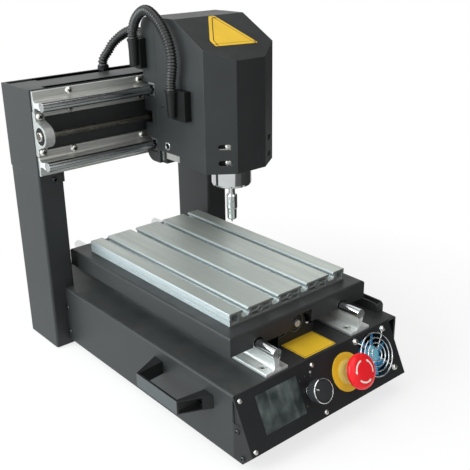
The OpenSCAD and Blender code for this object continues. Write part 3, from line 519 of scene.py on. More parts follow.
@dataclass(frozen=True)
class Moulded(Finish):
    """Moulded plastic or rubber with a fine eroded texture."""

    grain: float = 1500.0
    depth: float = 0.00005
    specular: float = 0.5
    coat: float = 0.0
    change: float = 0.12

    def dress(self, s: Sketch, shader: Node) -> None:
        """Joins the texture and the uneven gloss."""
        grain = s.effect(EFFECTS.grain, Scale=self.grain, Patch_Scale=30.0)
        edge = s.effect(EFFECTS.edge, Radius=0.0006)
        patch = grain.outputs["Patch"]
        body = s.mix(patch, scaled(self.colour, 1 - self.change), scaled(self.colour, 1 + self.change))
        # Lightens the edges: partly worn plastic, partly a painted highlight.
        body = s.mix(s.times(edge.outputs["Mask"], 0.25), body, scaled(self.colour, 1.4, 0.02))
        s.give(shader, {"Base Color": self.painted_light_by_facing(s, body), "Specular IOR Level": self.specular,
                        "Coat Weight": self.coat,
                        "Roughness": s.spread(patch, 0.0, 1.0, self.roughness - 0.06, self.roughness + 0.06)})
        self.relief(s, shader, grain.outputs["Height"], self.depth, 0.5, edge.outputs["Normal"])


@dataclass(frozen=True)
class PaintedSheenGrip(Moulded):
    """Black plastic whose outermost upright faces carry a painted grey sheen."""

    # Colour of the painted sheen.
    wear_and_sheen: Colour = (0.058, 0.065, 0.068)
    middle: float = 0.017
    reach: float = 0.1645

    def painted_light_by_facing(self, s: Sketch, body: Socket) -> Socket:
        """Paints a grey sheen on the outermost upright faces."""
        across = s.sum_up("ABSOLUTE", s.sum_up("ADD", s.axis(s.where(), 0), self.middle))
        far = s.spread(across, self.reach, self.reach + 0.001)
        outer = s.spread(s.sum_up("ABSOLUTE", s.axis(s.facing(), 0)), 0.85, 0.95)
        return s.mix(s.times(far, outer), body, self.wear_and_sheen)


@dataclass(frozen=True)
class CreasedFilm(Finish):
    """A dark screen under its loose protective film: bent creases with painted highlights and painted glints
    on a glossy ground.
    """

    # Painted highlight colours of the creases and of the glints.
    painted_crease_highlight: Colour = (0.20, 0.24, 0.23)
    painted_glint: Colour = (0.13, 0.15, 0.15)
    lean: Triple = (0.3, 0.5, 0.75)
    stretch: Triple = (120.0, 16.0, 16.0)

    def dress(self, s: Sketch, shader: Node) -> None:
        """Joins the painted highlights of the creases, the painted glints and the slow waves of the film."""
        where = s.where()
        swirl = s.put("ShaderNodeMapping", {"Vector": where, "Rotation": self.lean, "Scale": self.stretch})
        wave = s.noise(swirl.outputs[0], 1.0, 2.0, 0.5)
        streak = s.spread(wave, 0.55, 0.72)
        # Mask of where the painted highlights show.
        sheen = s.spread(s.noise(where, 45.0, 2.0, 0.5), 0.40, 0.70)
        body = s.mix(s.times(sheen, 0.35), self.colour, self.painted_crease_highlight)
        s.give(shader, {"Base Color": s.mix(s.times(streak, sheen), body, self.painted_glint),
                        "Roughness": s.spread(wave, 0.3, 0.7, self.roughness, self.roughness + 0.2)})
        self.relief(s, shader, wave, 0.0008, 0.35)


@dataclass(frozen=True)
class Circuit(Finish):
    """Lacquered circuit board with copper paths under the lacquer."""

    def dress(self, s: Sketch, shader: Node) -> None:
        """Joins the paths."""
        cells = s.put("ShaderNodeTexBrick", {"Vector": s.where(), "Scale": 90.0, "Mortar Size": 0.04})
        path = s.spread(cells.outputs["Fac"], 0.2, 0.8)
        s.give(shader, {"Base Color": s.mix(path, self.colour, scaled(self.colour, 2.2))})
        self.relief(s, shader, path, 0.0001, 0.5)


class Paint:
    """Every finish of the machine by name."""

    BLACK = PowderCoat("black_powder_coat", tone(38, 40, 41), 0.46)
    PANEL = PowderCoat("panel_black", tone(29, 30, 32), 0.5, dust=0.03, specular=0.25, radius=0.0006)
    TROUGH = PowderCoat("trough_black", tone(52, 54, 54), 0.5, radius=0.0006)
    # The table's left faces and ends carry painted light and painted shade.
    TABLE = Extruded("anodised_table", tone(194, 200, 194), 0.42, stretch=(1300.0, 40.0, 1300.0),
                     contrast=0.10, metallic=0.6, radius=0.0005)
    RAIL_Y = Brushed("drawn_rail_y", tone(222, 225, 223), 0.36, stretch=(1700.0, 30.0, 1700.0), contrast=0.32,
                     metallic=0.65)
    # Its side colour is painted light on the rail's faces that look left.
    RAIL_X = Extruded("drawn_rail_x", tone(202, 203, 199), 0.36, stretch=(24.0, 1500.0, 1500.0),
                      contrast=0.42, metallic=0.8, side=(0.78, 0.80, 0.80), painted_shade_end_share=0.0)
    SHAFT_X = Brushed("ground_shaft_x", tone(190, 193, 194), 0.16, stretch=(3.0, 700.0, 700.0), contrast=0.60,
                      depth=0.000008)
    SHAFT_Y = Brushed("ground_shaft_y", tone(222, 224, 225), 0.10, stretch=(500.0, 10.0, 500.0),
                      contrast=0.15)
    MILLED = Brushed("milled_aluminium", tone(205, 206, 202), 0.34, stretch=(500.0, 500.0, 60.0),
                     contrast=0.15)
    CHROME = Polished("chromed_steel", tone(226, 228, 229), 0.05, smear=0.03)
    SPINDLE = Polished("spindle_chrome", tone(205, 208, 209), 0.07, smear=0.05)
    SCREW = Polished("zinc_screw", tone(226, 225, 220), 0.22, smear=0.16)
    DARK_SCREW = Polished("blackened_screw", tone(70, 72, 74), 0.34, smear=0.2)
    SCREW_THREAD = Brushed("rolled_screw", tone(104, 101, 94), 0.30, stretch=(520.0, 90.0, 90.0),
                           contrast=0.5, depth=0.0002)
    SCREW_THREAD_Y = Brushed("rolled_screw_y", tone(196, 196, 194), 0.40, stretch=(90.0, 520.0, 90.0),
                             contrast=0.4, depth=0.0002, metallic=0.35)
    SCREW_THREAD_Z = Brushed("rolled_screw_z", tone(176, 172, 162), 0.30, stretch=(90.0, 90.0, 520.0),
                             contrast=0.5, depth=0.0002)
    CARBIDE = Polished("ground_carbide", tone(150, 152, 156), 0.2)
    CAST = Cast("cast_bearing_grey", tone(178, 180, 178), 0.46)
    PILLOWS = Cast("cast_screw_bearings", tone(178, 180, 178), 0.46, low_colour=tone(46, 48, 50))
    BRONZE = Brushed("nut_bronze", tone(190, 150, 84), 0.34, stretch=(300.0, 900.0, 900.0), contrast=0.14)
    MOTOR = PowderCoat("motor_black", tone(30, 31, 33), 0.42, grain=700.0, dust=0.05)
    # Handles with a painted grey sheen on their outer faces.
    HANDLE = PaintedSheenGrip("handle_black", tone(20, 21, 22), 0.42, change=0.2, specular=0.3)
    HOUSING = Moulded("black_plastic", tone(28, 29, 30), 0.42)
    GLAND = Moulded("gland_black", tone(13, 14, 14), 0.44, specular=0.25)
    HOSE = Moulded("hose_black", tone(22, 23, 24), 0.27, grain=900.0, specular=0.55)
    RUBBER = Moulded("foot_rubber", tone(24, 24, 24), 0.75, specular=0.25)
    KNOB = Moulded("knob_black", tone(44, 45, 47), 0.36)
    RED = Moulded("stop_red", tone(238, 24, 34), 0.34, coat=0.05, change=0.05, depth=0.00001, specular=0.35)
    STEM = Moulded("stem_grey", tone(170, 172, 168), 0.4)
    COLLAR = Moulded("collar_grey", tone(206, 186, 96), 0.42)
    YELLOW = Moulded("plate_yellow", tone(238, 194, 50), 0.42, change=0.05, depth=0.00001, coat=0.2)
    DISC = Moulded("stop_plate_yellow", tone(234, 192, 44), 0.42, change=0.06, depth=0.00001)
    BORDER = Moulded("plate_border", tone(96, 62, 30), 0.5, change=0.05)
    MARK = Moulded("scale_grey", tone(120, 122, 122), 0.5, change=0.04, depth=0.00001)
    WHITE = Moulded("mark_white", tone(236, 232, 224), 0.5, change=0.04, depth=0.00001)
    BLUE = Moulded("fan_blue", tone(78, 182, 240), 0.3, coat=0.3)
    FOIL = Moulded("hub_foil", tone(128, 206, 238), 0.3, change=0.3, coat=0.3)
    LAMP = Moulded("lamp_lens", tone(150, 158, 160), 0.2, coat=0.6)
    # Black of the bearing seal; also painted shade behind the head's slots.
    DARK = Moulded("seal_black_and_painted_shade", tone(12, 12, 13), 0.6, specular=0.2)
    # Deep black used only as painted shade.
    PAINTED_SHADE = Moulded("painted_shade_black", tone(7, 7, 7), 0.9, specular=0.0, change=0.05)
    SCREEN = CreasedFilm("creased_screen", tone(36, 45, 45), 0.18)
    BOARD = Circuit("board_green", tone(24, 78, 52), 0.4)
    SUPPLY = Brushed("supply_zinc", tone(186, 188, 188), 0.42, stretch=(300.0, 300.0, 300.0), contrast=0.3)


NODE_FINISHES: dict[str, Finish] = {node: finish for finish, nodes in (
    (Paint.BLACK, "chassis_shell bottom_plate left_column right_column beam beam_ends motor_brackets "
                  "table_carriage x_housing head_cover"),
    (Paint.PANEL, "front_panel"),
    (Paint.HOUSING, "display_module fan_frame mains_inlet"),
    (Paint.CHROME, "speed_pot fan_guard z_rods"),
    (Paint.DISC, "estop_plate"),
    (Paint.COLLAR, "estop_body"),
    (Paint.RUBBER, "rubber_feet"),
    (Paint.HANDLE, "left_handle right_handle"),
    (Paint.SUPPLY, "power_supply"),
    (Paint.BOARD, "controller_board"),
    (Paint.TROUGH, "cable_trough"),
    (Paint.RAIL_Y, "y_rail_left y_rail_right"),
    (Paint.SHAFT_Y, "y_shafts"),
    (Paint.PILLOWS, "screw_bearings"),
    (Paint.MOTOR, "axis_motors z_motor"),
    (Paint.RAIL_X, "x_rail_upper x_rail_lower"),
    (Paint.SHAFT_X, "x_shafts"),
    (Paint.GLAND, "beam_gland carriage_gland head_gland"),
    (Paint.KNOB, "speed_knob"),
    (Paint.STEM, "estop_stem"),
    (Paint.RED, "estop_button"),
    (Paint.BLUE, "fan_rotor"),
    (Paint.SCREW_THREAD_Y, "y_screw"),
    (Paint.MILLED, "y_coupler x_coupler x_plate z_end_plates z_slider spindle_clamp"),
    (Paint.TABLE, "t_slot_table"),
    (Paint.CAST, "y_blocks x_blocks"),
    (Paint.BRONZE, "y_nut x_nut"),
    (Paint.SCREW_THREAD, "x_screw"),
    (Paint.SCREW_THREAD_Z, "z_screw"),
    (Paint.SPINDLE, "spindle_motor tool_holder"),
    (Paint.CARBIDE, "cutter"),
) for node in nodes.split()}


# ------------------------------------------------------------------ mesh makers

class Body(Enum):
    """The bodies that the added pieces ride on."""

    FRAME = "frame"
    KNOB = "knob"
    STOP = "stop_button"
    FAN = "fan"
    X_SCREW = "x_screw"
    HEAD = "head"


OPEN_EDGE = 4.0  # angle given to an edge with one face, wider than any real one, so that it stays sharp


@dataclass
class Form:
    """A mesh under construction; lengths are millimetres in its own frame."""

    mesh: bmesh.types.BMesh = field(default_factory=bmesh.new)

    def ring(self, points: Sequence[Vector]) -> Row:
        """Adds a row of vertices."""
        return [self.mesh.verts.new(p) for p in points]

    def skin(self, rings: Sequence[Row], closed: bool = True) -> None:
        """Joins neighbouring rows with faces.

        Args:
            rings: Rows with equally many vertices.
            closed: Whether each row runs round to its start.
        """
        for low, high in zip(rings, rings[1:]):
            count = len(low)
            for i in range(count if closed else count - 1):
                j = (i + 1) % count
                self.mesh.faces.new((low[i], low[j], high[j], high[i]))

    def turned(self, profile: Outline, where: Matrix,
               steps: int) -> list[Row]:
        """Adds one round row of vertices for each radius and height of a profile."""
        angles = [2 * math.pi * i / steps for i in range(steps)]
        return [self.ring([where @ Vector((r * math.cos(a), r * math.sin(a), z)) for a in angles])
                for r, z in profile]

    def lathe(self, profile: Outline, where: Matrix, steps: int = 32) -> "Form":
        """Turns a closed outline round the Z axis.

        Args:
            profile: Radius and height of each point; the outline closes on itself off the axis.
            where: Place of the turned shape.
            steps: Number of segments.

        Returns:
            This form.
        """
        rings = self.turned(profile, where, steps)
        self.skin([*rings, rings[0]])
        return self

    def closed(self, rings: Sequence[Row]) -> "Form":
        """Joins rows with faces and closes both ends with flat ones."""
        self.skin(rings)
        self.mesh.faces.new(list(reversed(rings[0])))
        self.mesh.faces.new(rings[-1])
        return self

    def head(self, profile: Outline, recess: Outline,
             depth: float, steps: int = 24) -> "Form":
        """Makes a screw head with a driver recess.

        Args:
            profile: Radius and height of each point, from the rim up to the flat round the recess.
            recess: Outline of the recess.
            depth: Depth of the recess.
            steps: Number of segments.

        Returns:
            This form.
        """
        rings = self.turned(profile, Matrix.Identity(4), steps)
        self.skin(rings)
        self.mesh.faces.new(list(reversed(rings[0])))
        top = profile[-1][1]
        mouth = self.ring([Vector((x, y, top)) for x, y in recess])
        floor = self.ring([Vector((x * 0.8, y * 0.8, top - depth)) for x, y in recess])
        mouth_edges = [self.mesh.edges.new((a, b)) for a, b in zip(mouth, [*mouth[1:], mouth[0]])]
        rim_edges = [self.mesh.edges.get((a, b)) for a, b in zip(rings[-1], [*rings[-1][1:], rings[-1][0]])]
        bmesh.ops.bridge_loops(self.mesh, edges=[*mouth_edges, *rim_edges])
        self.skin([mouth, floor])
        self.mesh.faces.new(floor)
        return self

    def plate(self, outline: Outline, low: float, high: float,
              where: Matrix, bevel: float = 0.0) -> "Form":
        """Raises an outline into a plate with softened upper edges.

        Args:
            outline: Points of the plate, anticlockwise.
            low: Height of its underside.
            high: Height of its upper side.
            where: Place of the plate.
            bevel: Width of the softened edge.

        Returns:
            This form.
        """
        middle = Vector((sum(x for x, _ in outline), sum(y for _, y in outline))) / len(outline)
        reach = max((Vector(p) - middle).length for p in outline)
        rows = [(low, 0.0), (high - bevel, 0.0), (high, bevel)] if bevel > 0 else [(low, 0.0), (high, 0.0)]
        rings = []
        for z, inset in rows:
            share = 1 - inset / reach
            rings.append(self.ring([where @ Vector((middle.x + (x - middle.x) * share,
                                                    middle.y + (y - middle.y) * share, z))
                                    for x, y in outline]))
        return self.closed(rings)

    def band(self, outline: Outline, inner: Outline,
             low: float, high: float, where: Matrix) -> "Form":
        """Makes a flat closed band between two outlines with equally many points.

        Args:
            outline: Outer points, anticlockwise.
            inner: Inner points in the same order.
            low: Height of the underside.
            high: Height of the upper side.
            where: Place of the band.

        Returns:
            This form.
        """
        rings = [self.ring([where @ Vector((x, y, z)) for x, y in side])
                 for side, z in ((outline, low), (outline, high), (inner, high), (inner, low))]
        self.skin([*rings, rings[0]])
        return self

    def finished(self, name: str, smooth: float = 35.0) -> Mesh:
        """Closes the form into a plain mesh with faces that point outwards.

        Args:
            name: Name of the mesh.
            smooth: Angle in degrees under which edges are shaded smooth.

        Returns:
            The mesh.
        """
        bmesh.ops.remove_doubles(self.mesh, verts=self.mesh.verts, dist=1e-7)
        bmesh.ops.recalc_face_normals(self.mesh, faces=self.mesh.faces)
        for face in self.mesh.faces:
            face.smooth = True
        for edge in self.mesh.edges:
            edge.smooth = edge.calc_face_angle(OPEN_EDGE) < math.radians(smooth)
        made = bpy.data.meshes.new(name)
        self.mesh.to_mesh(made)
        self.mesh.free()
        return made

    def piece(self, name: str, finish: Finish, body: Body = Body.FRAME,
              smooth: float = 35.0) -> Object:
        """Adds the finished form to the scene as a piece."""
        return add_piece(name, self.finished(name, smooth), finish, body)


def add_piece(name: str, mesh: Mesh, finish: Finish, body: Body) -> Object:
    """Adds a piece to the scene.

    Args:
        name: Name of the piece.
        mesh: Its mesh, in the shared frame.
        finish: What it is made of.
        body: The body it rides on.

    Returns:
        The new object.
    """
    piece = in_scene(name, mesh)
    mesh.materials.clear()
    mesh.materials.append(finish.material())
    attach(piece, body.value)
    LOG.info("%s: %d faces, %s, on %s", name, len(mesh.polygons), finish.name, body.value)
    return piece


def rounded(outline: Outline, radius: float,
            steps: int = 4) -> list[Pair]:
    """Rounds the corners of an outline.

    Args:
        outline: Corner points in order.
        radius: Cut-back from each corner.
        steps: Points of each rounded corner, less one.

    Returns:
        The rounded outline.
    """
    result = []
    count = len(outline)
    for i in range(count):
        before, here, after = (Vector(outline[(i + k) % count]) for k in (-1, 0, 1))
        start = here + (before - here).normalized() * min(radius, (before - here).length * 0.49)
        end = here + (after - here).normalized() * min(radius, (after - here).length * 0.49)
        for j in range(steps + 1):
            t = j / steps
            point = start * (1 - t) ** 2 + here * 2 * t * (1 - t) + end * t ** 2
            result.append((point.x, point.y))
    return result


def rectangle(width: float, height: float, middle: Pair = (0, 0)) -> list[Pair]:
    """Gives the corners of a rectangle, anticlockwise."""
    x, y = middle
    return [(x - width / 2, y - height / 2), (x + width / 2, y - height / 2),
            (x + width / 2, y + height / 2), (x - width / 2, y + height / 2)]


def shrunk(outline: Outline, by: float) -> list[Pair]:
    """Moves every point of an outline inwards.

    Args:
        outline: Points, anticlockwise.
        by: Distance inwards.

    Returns:
        The smaller outline with equally many points.
    """
    count = len(outline)
    result = []
    for i in range(count):
        before, here, after = (Vector(outline[(i + k) % count]) for k in (-1, 0, 1))
        first = (here - before).normalized()
        second = (after - here).normalized()
        inward = Vector((-first.y - second.y, first.x + second.x)).normalized()
        lean = max(0.3, inward.dot(Vector((-first.y, first.x))))
        point = here + inward * (by / lean)
        result.append((point.x, point.y))
    return result


# ------------------------------------------------------------------ geometry node trees

class Trees:
    """The Geometry Nodes trees of the machine, each built once."""

    GEOMETRY: ClassVar[str] = "NodeSocketGeometry"

    def __init__(self) -> None:
        """Builds every tree."""
        self.field = self._field()
        self.hose = self._hose()

    def _field(self) -> NodeTree:
        """Sets one small part on every point, square to the point's own direction."""
        s, given, result = new_group("set_on_points", "GeometryNodeTree", [
            ("Points", self.GEOMETRY, None), ("Part", "NodeSocketObject", None),
            ("Finish", "NodeSocketMaterial", None), ("Size", "NodeSocketFloat", 1.0),
            ("Turn Spread", "NodeSocketFloat", 0.0), ("Seed", "NodeSocketInt", 7)],
            [("Geometry", self.GEOMETRY)])
        part = s.put("GeometryNodeObjectInfo", {"Object": given.outputs["Part"]}, transform_space="ORIGINAL")
        aim = s.put("GeometryNodeInputNamedAttribute", data_type="FLOAT_VECTOR")
        turn = s.put("GeometryNodeInputNamedAttribute", data_type="FLOAT")
        s.give(aim, {"Name": "aim"})
        s.give(turn, {"Name": "turn"})
        upright = s.put("FunctionNodeAlignRotationToVector", {"Vector": aim.outputs["Attribute"]}, axis="Z")
        chance = s.put("FunctionNodeRandomValue", data_type="FLOAT")
        s.give(chance, {"Seed": given.outputs["Seed"]})
        spread = s.times(next(o for o in chance.outputs if o.enabled), given.outputs["Turn Spread"])
        about = s.put("FunctionNodeAxisAngleToRotation", {
            "Axis": (0.0, 0.0, 1.0), "Angle": s.sum_up("ADD", spread, turn.outputs["Attribute"])})
        turned = s.put("FunctionNodeRotateRotation", {0: upright.outputs[0], 1: about.outputs[0]},
                       rotation_space="LOCAL")
        scatter = s.put("GeometryNodeInstanceOnPoints", {
            "Points": given.outputs["Points"], "Instance": part.outputs["Geometry"],
            "Rotation": turned.outputs[0], "Scale": given.outputs["Size"]})
        return self._close(s, scatter.outputs[0], given, result)

    def _hose(self) -> NodeTree:
        """Sweeps a ribbed conduit along a path: its radius swells and narrows with the length."""
        s, given, result = new_group("ribbed_conduit", "GeometryNodeTree", [
            ("Path", self.GEOMETRY, None), ("Outer Radius", "NodeSocketFloat", 0.0066),
            ("Rib Depth", "NodeSocketFloat", 0.0009), ("Rib Pitch", "NodeSocketFloat", 0.0024),
            ("Step", "NodeSocketFloat", 0.0006), ("Sides", "NodeSocketInt", 20),
            ("Finish", "NodeSocketMaterial", None)], [("Geometry", self.GEOMETRY)])
        curve = s.put("GeometryNodeMeshToCurve", {"Mesh": given.outputs["Path"]}).outputs[0]
        even = s.put("GeometryNodeResampleCurve", mode="LENGTH")
        s.give(even, {"Curve": curve, "Length": given.outputs["Step"]})
        length = s.put("GeometryNodeSplineParameter").outputs["Length"]
        phase = s.times(s.sum_up("DIVIDE", length, given.outputs["Rib Pitch"]), 2 * math.pi)
        swell = s.times(s.sum_up("SINE", phase), 1.5)
        swell = s.sum_up("MINIMUM", s.sum_up("MAXIMUM", swell, -1.0), 1.0)
        groove = s.times(s.sum_up("SUBTRACT", 1.0, swell), 0.5)
        radius = s.sum_up("SUBTRACT", given.outputs["Outer Radius"],
                          s.times(groove, given.outputs["Rib Depth"]))
        section = s.put("GeometryNodeCurvePrimitiveCircle", mode="RADIUS")
        s.give(section, {"Resolution": given.outputs["Sides"], "Radius": 1.0})
        swept = s.put("GeometryNodeCurveToMesh", {"Curve": even.outputs[0], "Scale": radius,
                                                  "Profile Curve": section.outputs[0], "Fill Caps": True})
        soft = s.put("GeometryNodeSetShadeSmooth", {0: swept.outputs[0]})
        return self._close(s, soft.outputs[0], given, result)

    @staticmethod
    def _close(s: Sketch, geometry: Socket, given: Node,
               result: Node) -> NodeTree:
        """Ends a tree in real meshes with their material."""
        real = s.put("GeometryNodeRealizeInstances", {0: geometry})
        dressed = s.put("GeometryNodeSetMaterial",
                        {"Geometry": real.outputs[0], "Material": given.outputs["Finish"]})
        s.give(result, {"Geometry": dressed.outputs[0]})
        return s.tree


TREES = Trees()


def grow(name: str, tree: NodeTree, base: Mesh,
         inputs: dict[str, object]) -> Mesh:
    """Runs a tree once and keeps its result as a plain mesh.

    Args:
        name: Name of the mesh.
        tree: The Geometry Nodes tree.
        base: The mesh that the tree starts from.
        inputs: The tree's inputs by name.

    Returns:
        The grown mesh.
    """
    holder = in_scene(name, base)
    maker = holder.modifiers.new("grow", "NODES")
    maker.node_group = tree
    for item in tree.interface.items_tree:
        if item.item_type == "SOCKET" and item.in_out == "INPUT" and item.name in inputs:
            maker[item.identifier] = inputs[item.name]
    shown = holder.evaluated_get(bpy.context.evaluated_depsgraph_get())
    grown = bpy.data.meshes.new_from_object(shown)
    grown.name = name
    holder.modifiers.remove(maker)
    bpy.data.objects.remove(holder)
    return grown


@dataclass(frozen=True)
class Seat:
    """A place for a small part: a point, an outward direction and a turn about it."""

    point: Vector
    aim: Vector
    turn: float = 0.0


def seats(face: Face, places: Outline, off: float = 0.0) -> list[Seat]:
    """Gives one seat for each place on a flat face, some millimetres off it."""
    return [Seat(face.at(u, v, off), face.out) for u, v in places]


def point_mesh(places: Sequence[Seat]) -> Mesh:
    """Makes a mesh of loose points that carry their directions.

    Args:
        places: The seats.

    Returns:
        The mesh.
    """
    mesh = bpy.data.meshes.new("seats")
    mesh.from_pydata([p.point for p in places], [], [])
    aim = mesh.attributes.new("aim", "FLOAT_VECTOR", "POINT")
    aim.data.foreach_set("vector", [c for p in places for c in p.aim])
    turn = mesh.attributes.new("turn", "FLOAT", "POINT")
    turn.data.foreach_set("value", [p.turn for p in places])
    return mesh


class Head(Enum):
    """Kinds of fastener head."""

    PAN = "pan_head"
    SOCKET = "socket_head"
    BUTTON = "button_head"


@dataclass
class Fasteners:
    """Makes screw heads once and sets them in groups."""

    parts: dict[Head, Object] = field(default_factory=dict)

    def __post_init__(self) -> None:
        """Builds one head of each kind, one millimetre in radius."""
        arm, reach = 0.13, 0.52
        cross = [(arm, arm), (arm, reach), (-arm, reach), (-arm, arm), (-reach, arm), (-reach, -arm),
                 (-arm, -arm), (-arm, -reach), (arm, -reach), (arm, -arm), (reach, -arm), (reach, arm)]
        hexagon = [(reach * math.cos(math.radians(a)), reach * math.sin(math.radians(a)))
                   for a in range(0, 360, 60)]
        pan = [(0.94, -0.15), (1.0, 0.0), (0.99, 0.22), (0.92, 0.40), (0.78, 0.55), (0.60, 0.64)]
        socket = [(1.0, -0.9), (1.0, 0.0), (0.97, 0.08), (0.72, 0.10)]
        button = [(0.96, -0.1), (1.0, 0.0), (0.96, 0.25), (0.84, 0.44), (0.68, 0.54)]
        for kind, profile, recess, depth in ((Head.PAN, pan, cross, 0.42),
                                             (Head.SOCKET, socket, hexagon, 0.7),
                                             (Head.BUTTON, button, hexagon, 0.4)):
            mesh = Form().head(profile, recess, depth, 18).finished(kind.value, 40.0)
            self.parts[kind] = bpy.data.objects.new(kind.value, mesh)

    def set_in(self, name: str, places: Sequence[Seat], kind: Head, radius: float, seed: int,
               finish: Finish = Paint.DARK_SCREW, body: Body = Body.FRAME) -> Object:
        """Sets a group of equal screws.

        Args:
            name: Name of the piece.
            places: Where the heads sit.
            kind: Kind of head.
            radius: Radius of the head in millimetres.
            seed: Seed of their random turns.
            finish: What they are made of.
            body: The body they ride on.

        Returns:
            The piece.
        """
        mesh = grow(name, TREES.field, point_mesh(places), {
            "Part": self.parts[kind], "Finish": finish.material(), "Size": radius * MM,
            "Turn Spread": 2 * math.pi, "Seed": seed})
        return add_piece(name, mesh, finish, body)

    def drop_parts(self) -> None:
        """Removes the loose patterns of the heads."""
        for part in self.parts.values():
            bpy.data.objects.remove(part)
        self.parts.clear()


# ------------------------------------------------------------------ sub-assemblies

PLATE_THICKNESS = 0.5
PLATE_BEVEL = 0.15
LINE_FOOT = 0.45


def add_plate(name: str, sheet: Outline, where: Matrix, border: Pair, line_top: float, body: Body) -> None:
    """Adds a bare yellow plate and the thin line round it.

    Args:
        name: Name of the plate; its line is named after it.
        sheet: Outline of the plate.
        where: Place of the plate.
        border: How far in from the edge the line lies, and its width.
        line_top: Height of the line's upper side.
        body: The body they ride on.
    """
    Form().plate(sheet, 0.0, PLATE_THICKNESS, where, PLATE_BEVEL).piece(name, Paint.YELLOW, body)
    outer = shrunk(sheet, border[0])
    line = Form().band(outer, shrunk(outer, border[1]), LINE_FOOT, line_top, where)
    line.piece(f"{name}_line", Paint.BORDER, body)


@dataclass
class Chassis:
    """Base box, handles and deck: its screws, its plate and its feet."""

    plate_size: Pair = (49.6, 49.0)
    plate_middle: Pair = (1.8, 27.5)
    plate_corner: float = 1.2
    side_screw: float = 3.2
    inlet_x: float = 70.0
    inlet_half: float = 13.2
    half_width: float = 130.0
    grip_middle: float = 85.0
    grip_heights: Pair = (55.0, 71.0)
    skin: float = 1.2
    inset: float = 0.02
    bolt_y: Pair = (41.0, 129.0)
    bolt_height: float = 63.0
    bolt_out: float = 9.8
    # (distance along the base, distance out from its side) of one half of the strap and its foot
    foot: tuple[Pair, ...] = ((47, 0), (31.5, 0), (36.5, 10.9), (45.6, 8.5), (48.6, 33),
                                             (47, 34), (48, 36))
    strap_inside: Pair = (50.5, 33.4)
    pocket_skin: tuple[Pair, ...] = ((36.6, 10.6), (46.2, 8.2), (49, 33.2), (47.2, 34.6))

    def handle(self, name: str, node: str, side: int) -> None:
        """Makes one carrying handle: a thin strap between two feet with open pockets.

        Args:
            name: Name of the piece.
            node: The plain solid whose place it takes.
            side: -1 for the left, 1 for the right.
        """
        turn = Matrix(((0, side, 0), (1, 0, 0), (0, 0, 1))).to_4x4()
        where = Matrix.Translation(place(side * self.half_width, 0, 0)) @ turn @ Matrix.Scale(MM, 4)
        low, high = self.grip_heights

        def mirrored(points: Outline) -> list[Pair]:
            """The same points at the other end of the strap."""
            return [(2 * self.grip_middle - along, out) for along, out in reversed(points)]

        front = [self.strap_inside, *self.foot]
        form = Form().plate([*front, *mirrored(front)], low, high, where)
        for skin in (list(self.pocket_skin), mirrored(self.pocket_skin)):
            form.plate(skin, low + self.inset, low + self.skin, where)
            form.plate(skin, high - self.skin, high - self.inset, where)
        piece = form.piece(name, Paint.HANDLE)
        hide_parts(node)

    def build(self, screws: Fasteners) -> None:
        """Adds every piece of the base.

        Args:
            screws: The maker of screw heads.
        """
        sheet = rounded(rectangle(*self.plate_size, self.plate_middle), self.plate_corner)
        add_plate("deck_plate", sheet, DECK.frame(0, 0), (1.4, 0.5), 0.54, Body.FRAME)
        left = seats(BASE_LEFT, [(4, 58), (4, 22), (348.5, 45.8), (356.5, 16.6)])
        screws.set_in("side_screws", left, Head.PAN, self.side_screw, 3)
        right = seats(Face((self.half_width, 0, 0), (0, 1, 0), (0, 0, 1)), [(338, 58), (338, 22)])
        screws.set_in("right_side_screws", right, Head.PAN, self.side_screw, 4)
        self.handle("left_strap", "left_handle", -1)
        self.handle("right_strap", "right_handle", 1)
        out = self.half_width + self.bolt_out
        hand = [Seat(place(side * out, y, self.bolt_height), Vector((side, 0, 0)))
                for side in (-1, 1) for y in self.bolt_y]
        screws.set_in("handle_bolts", hand, Head.SOCKET, 4.2, 5)
        back = [(x, z) for x in (-104, 0, 104) for z in (20, 76)]
        screws.set_in("rear_screws", seats(GANTRY_BACK, back), Head.PAN, 3.0, 6)
        below = Face((0, 0, 9), (-1, 0, 0), (0, 1, 0))
        under = [(x, y) for x in (-115, 0, 115) for y in (25, 180, 330)]
        screws.set_in("bottom_screws", seats(below, under), Head.PAN, 3.0, 8)
        inlet = [(self.inlet_x - self.inlet_half, 75), (self.inlet_x + self.inlet_half, 75),
                 (self.inlet_x, 29)]
        screws.set_in("inlet_screws", seats(GANTRY_BACK, inlet, 2.5), Head.PAN, 1.7, 9, Paint.SCREW)


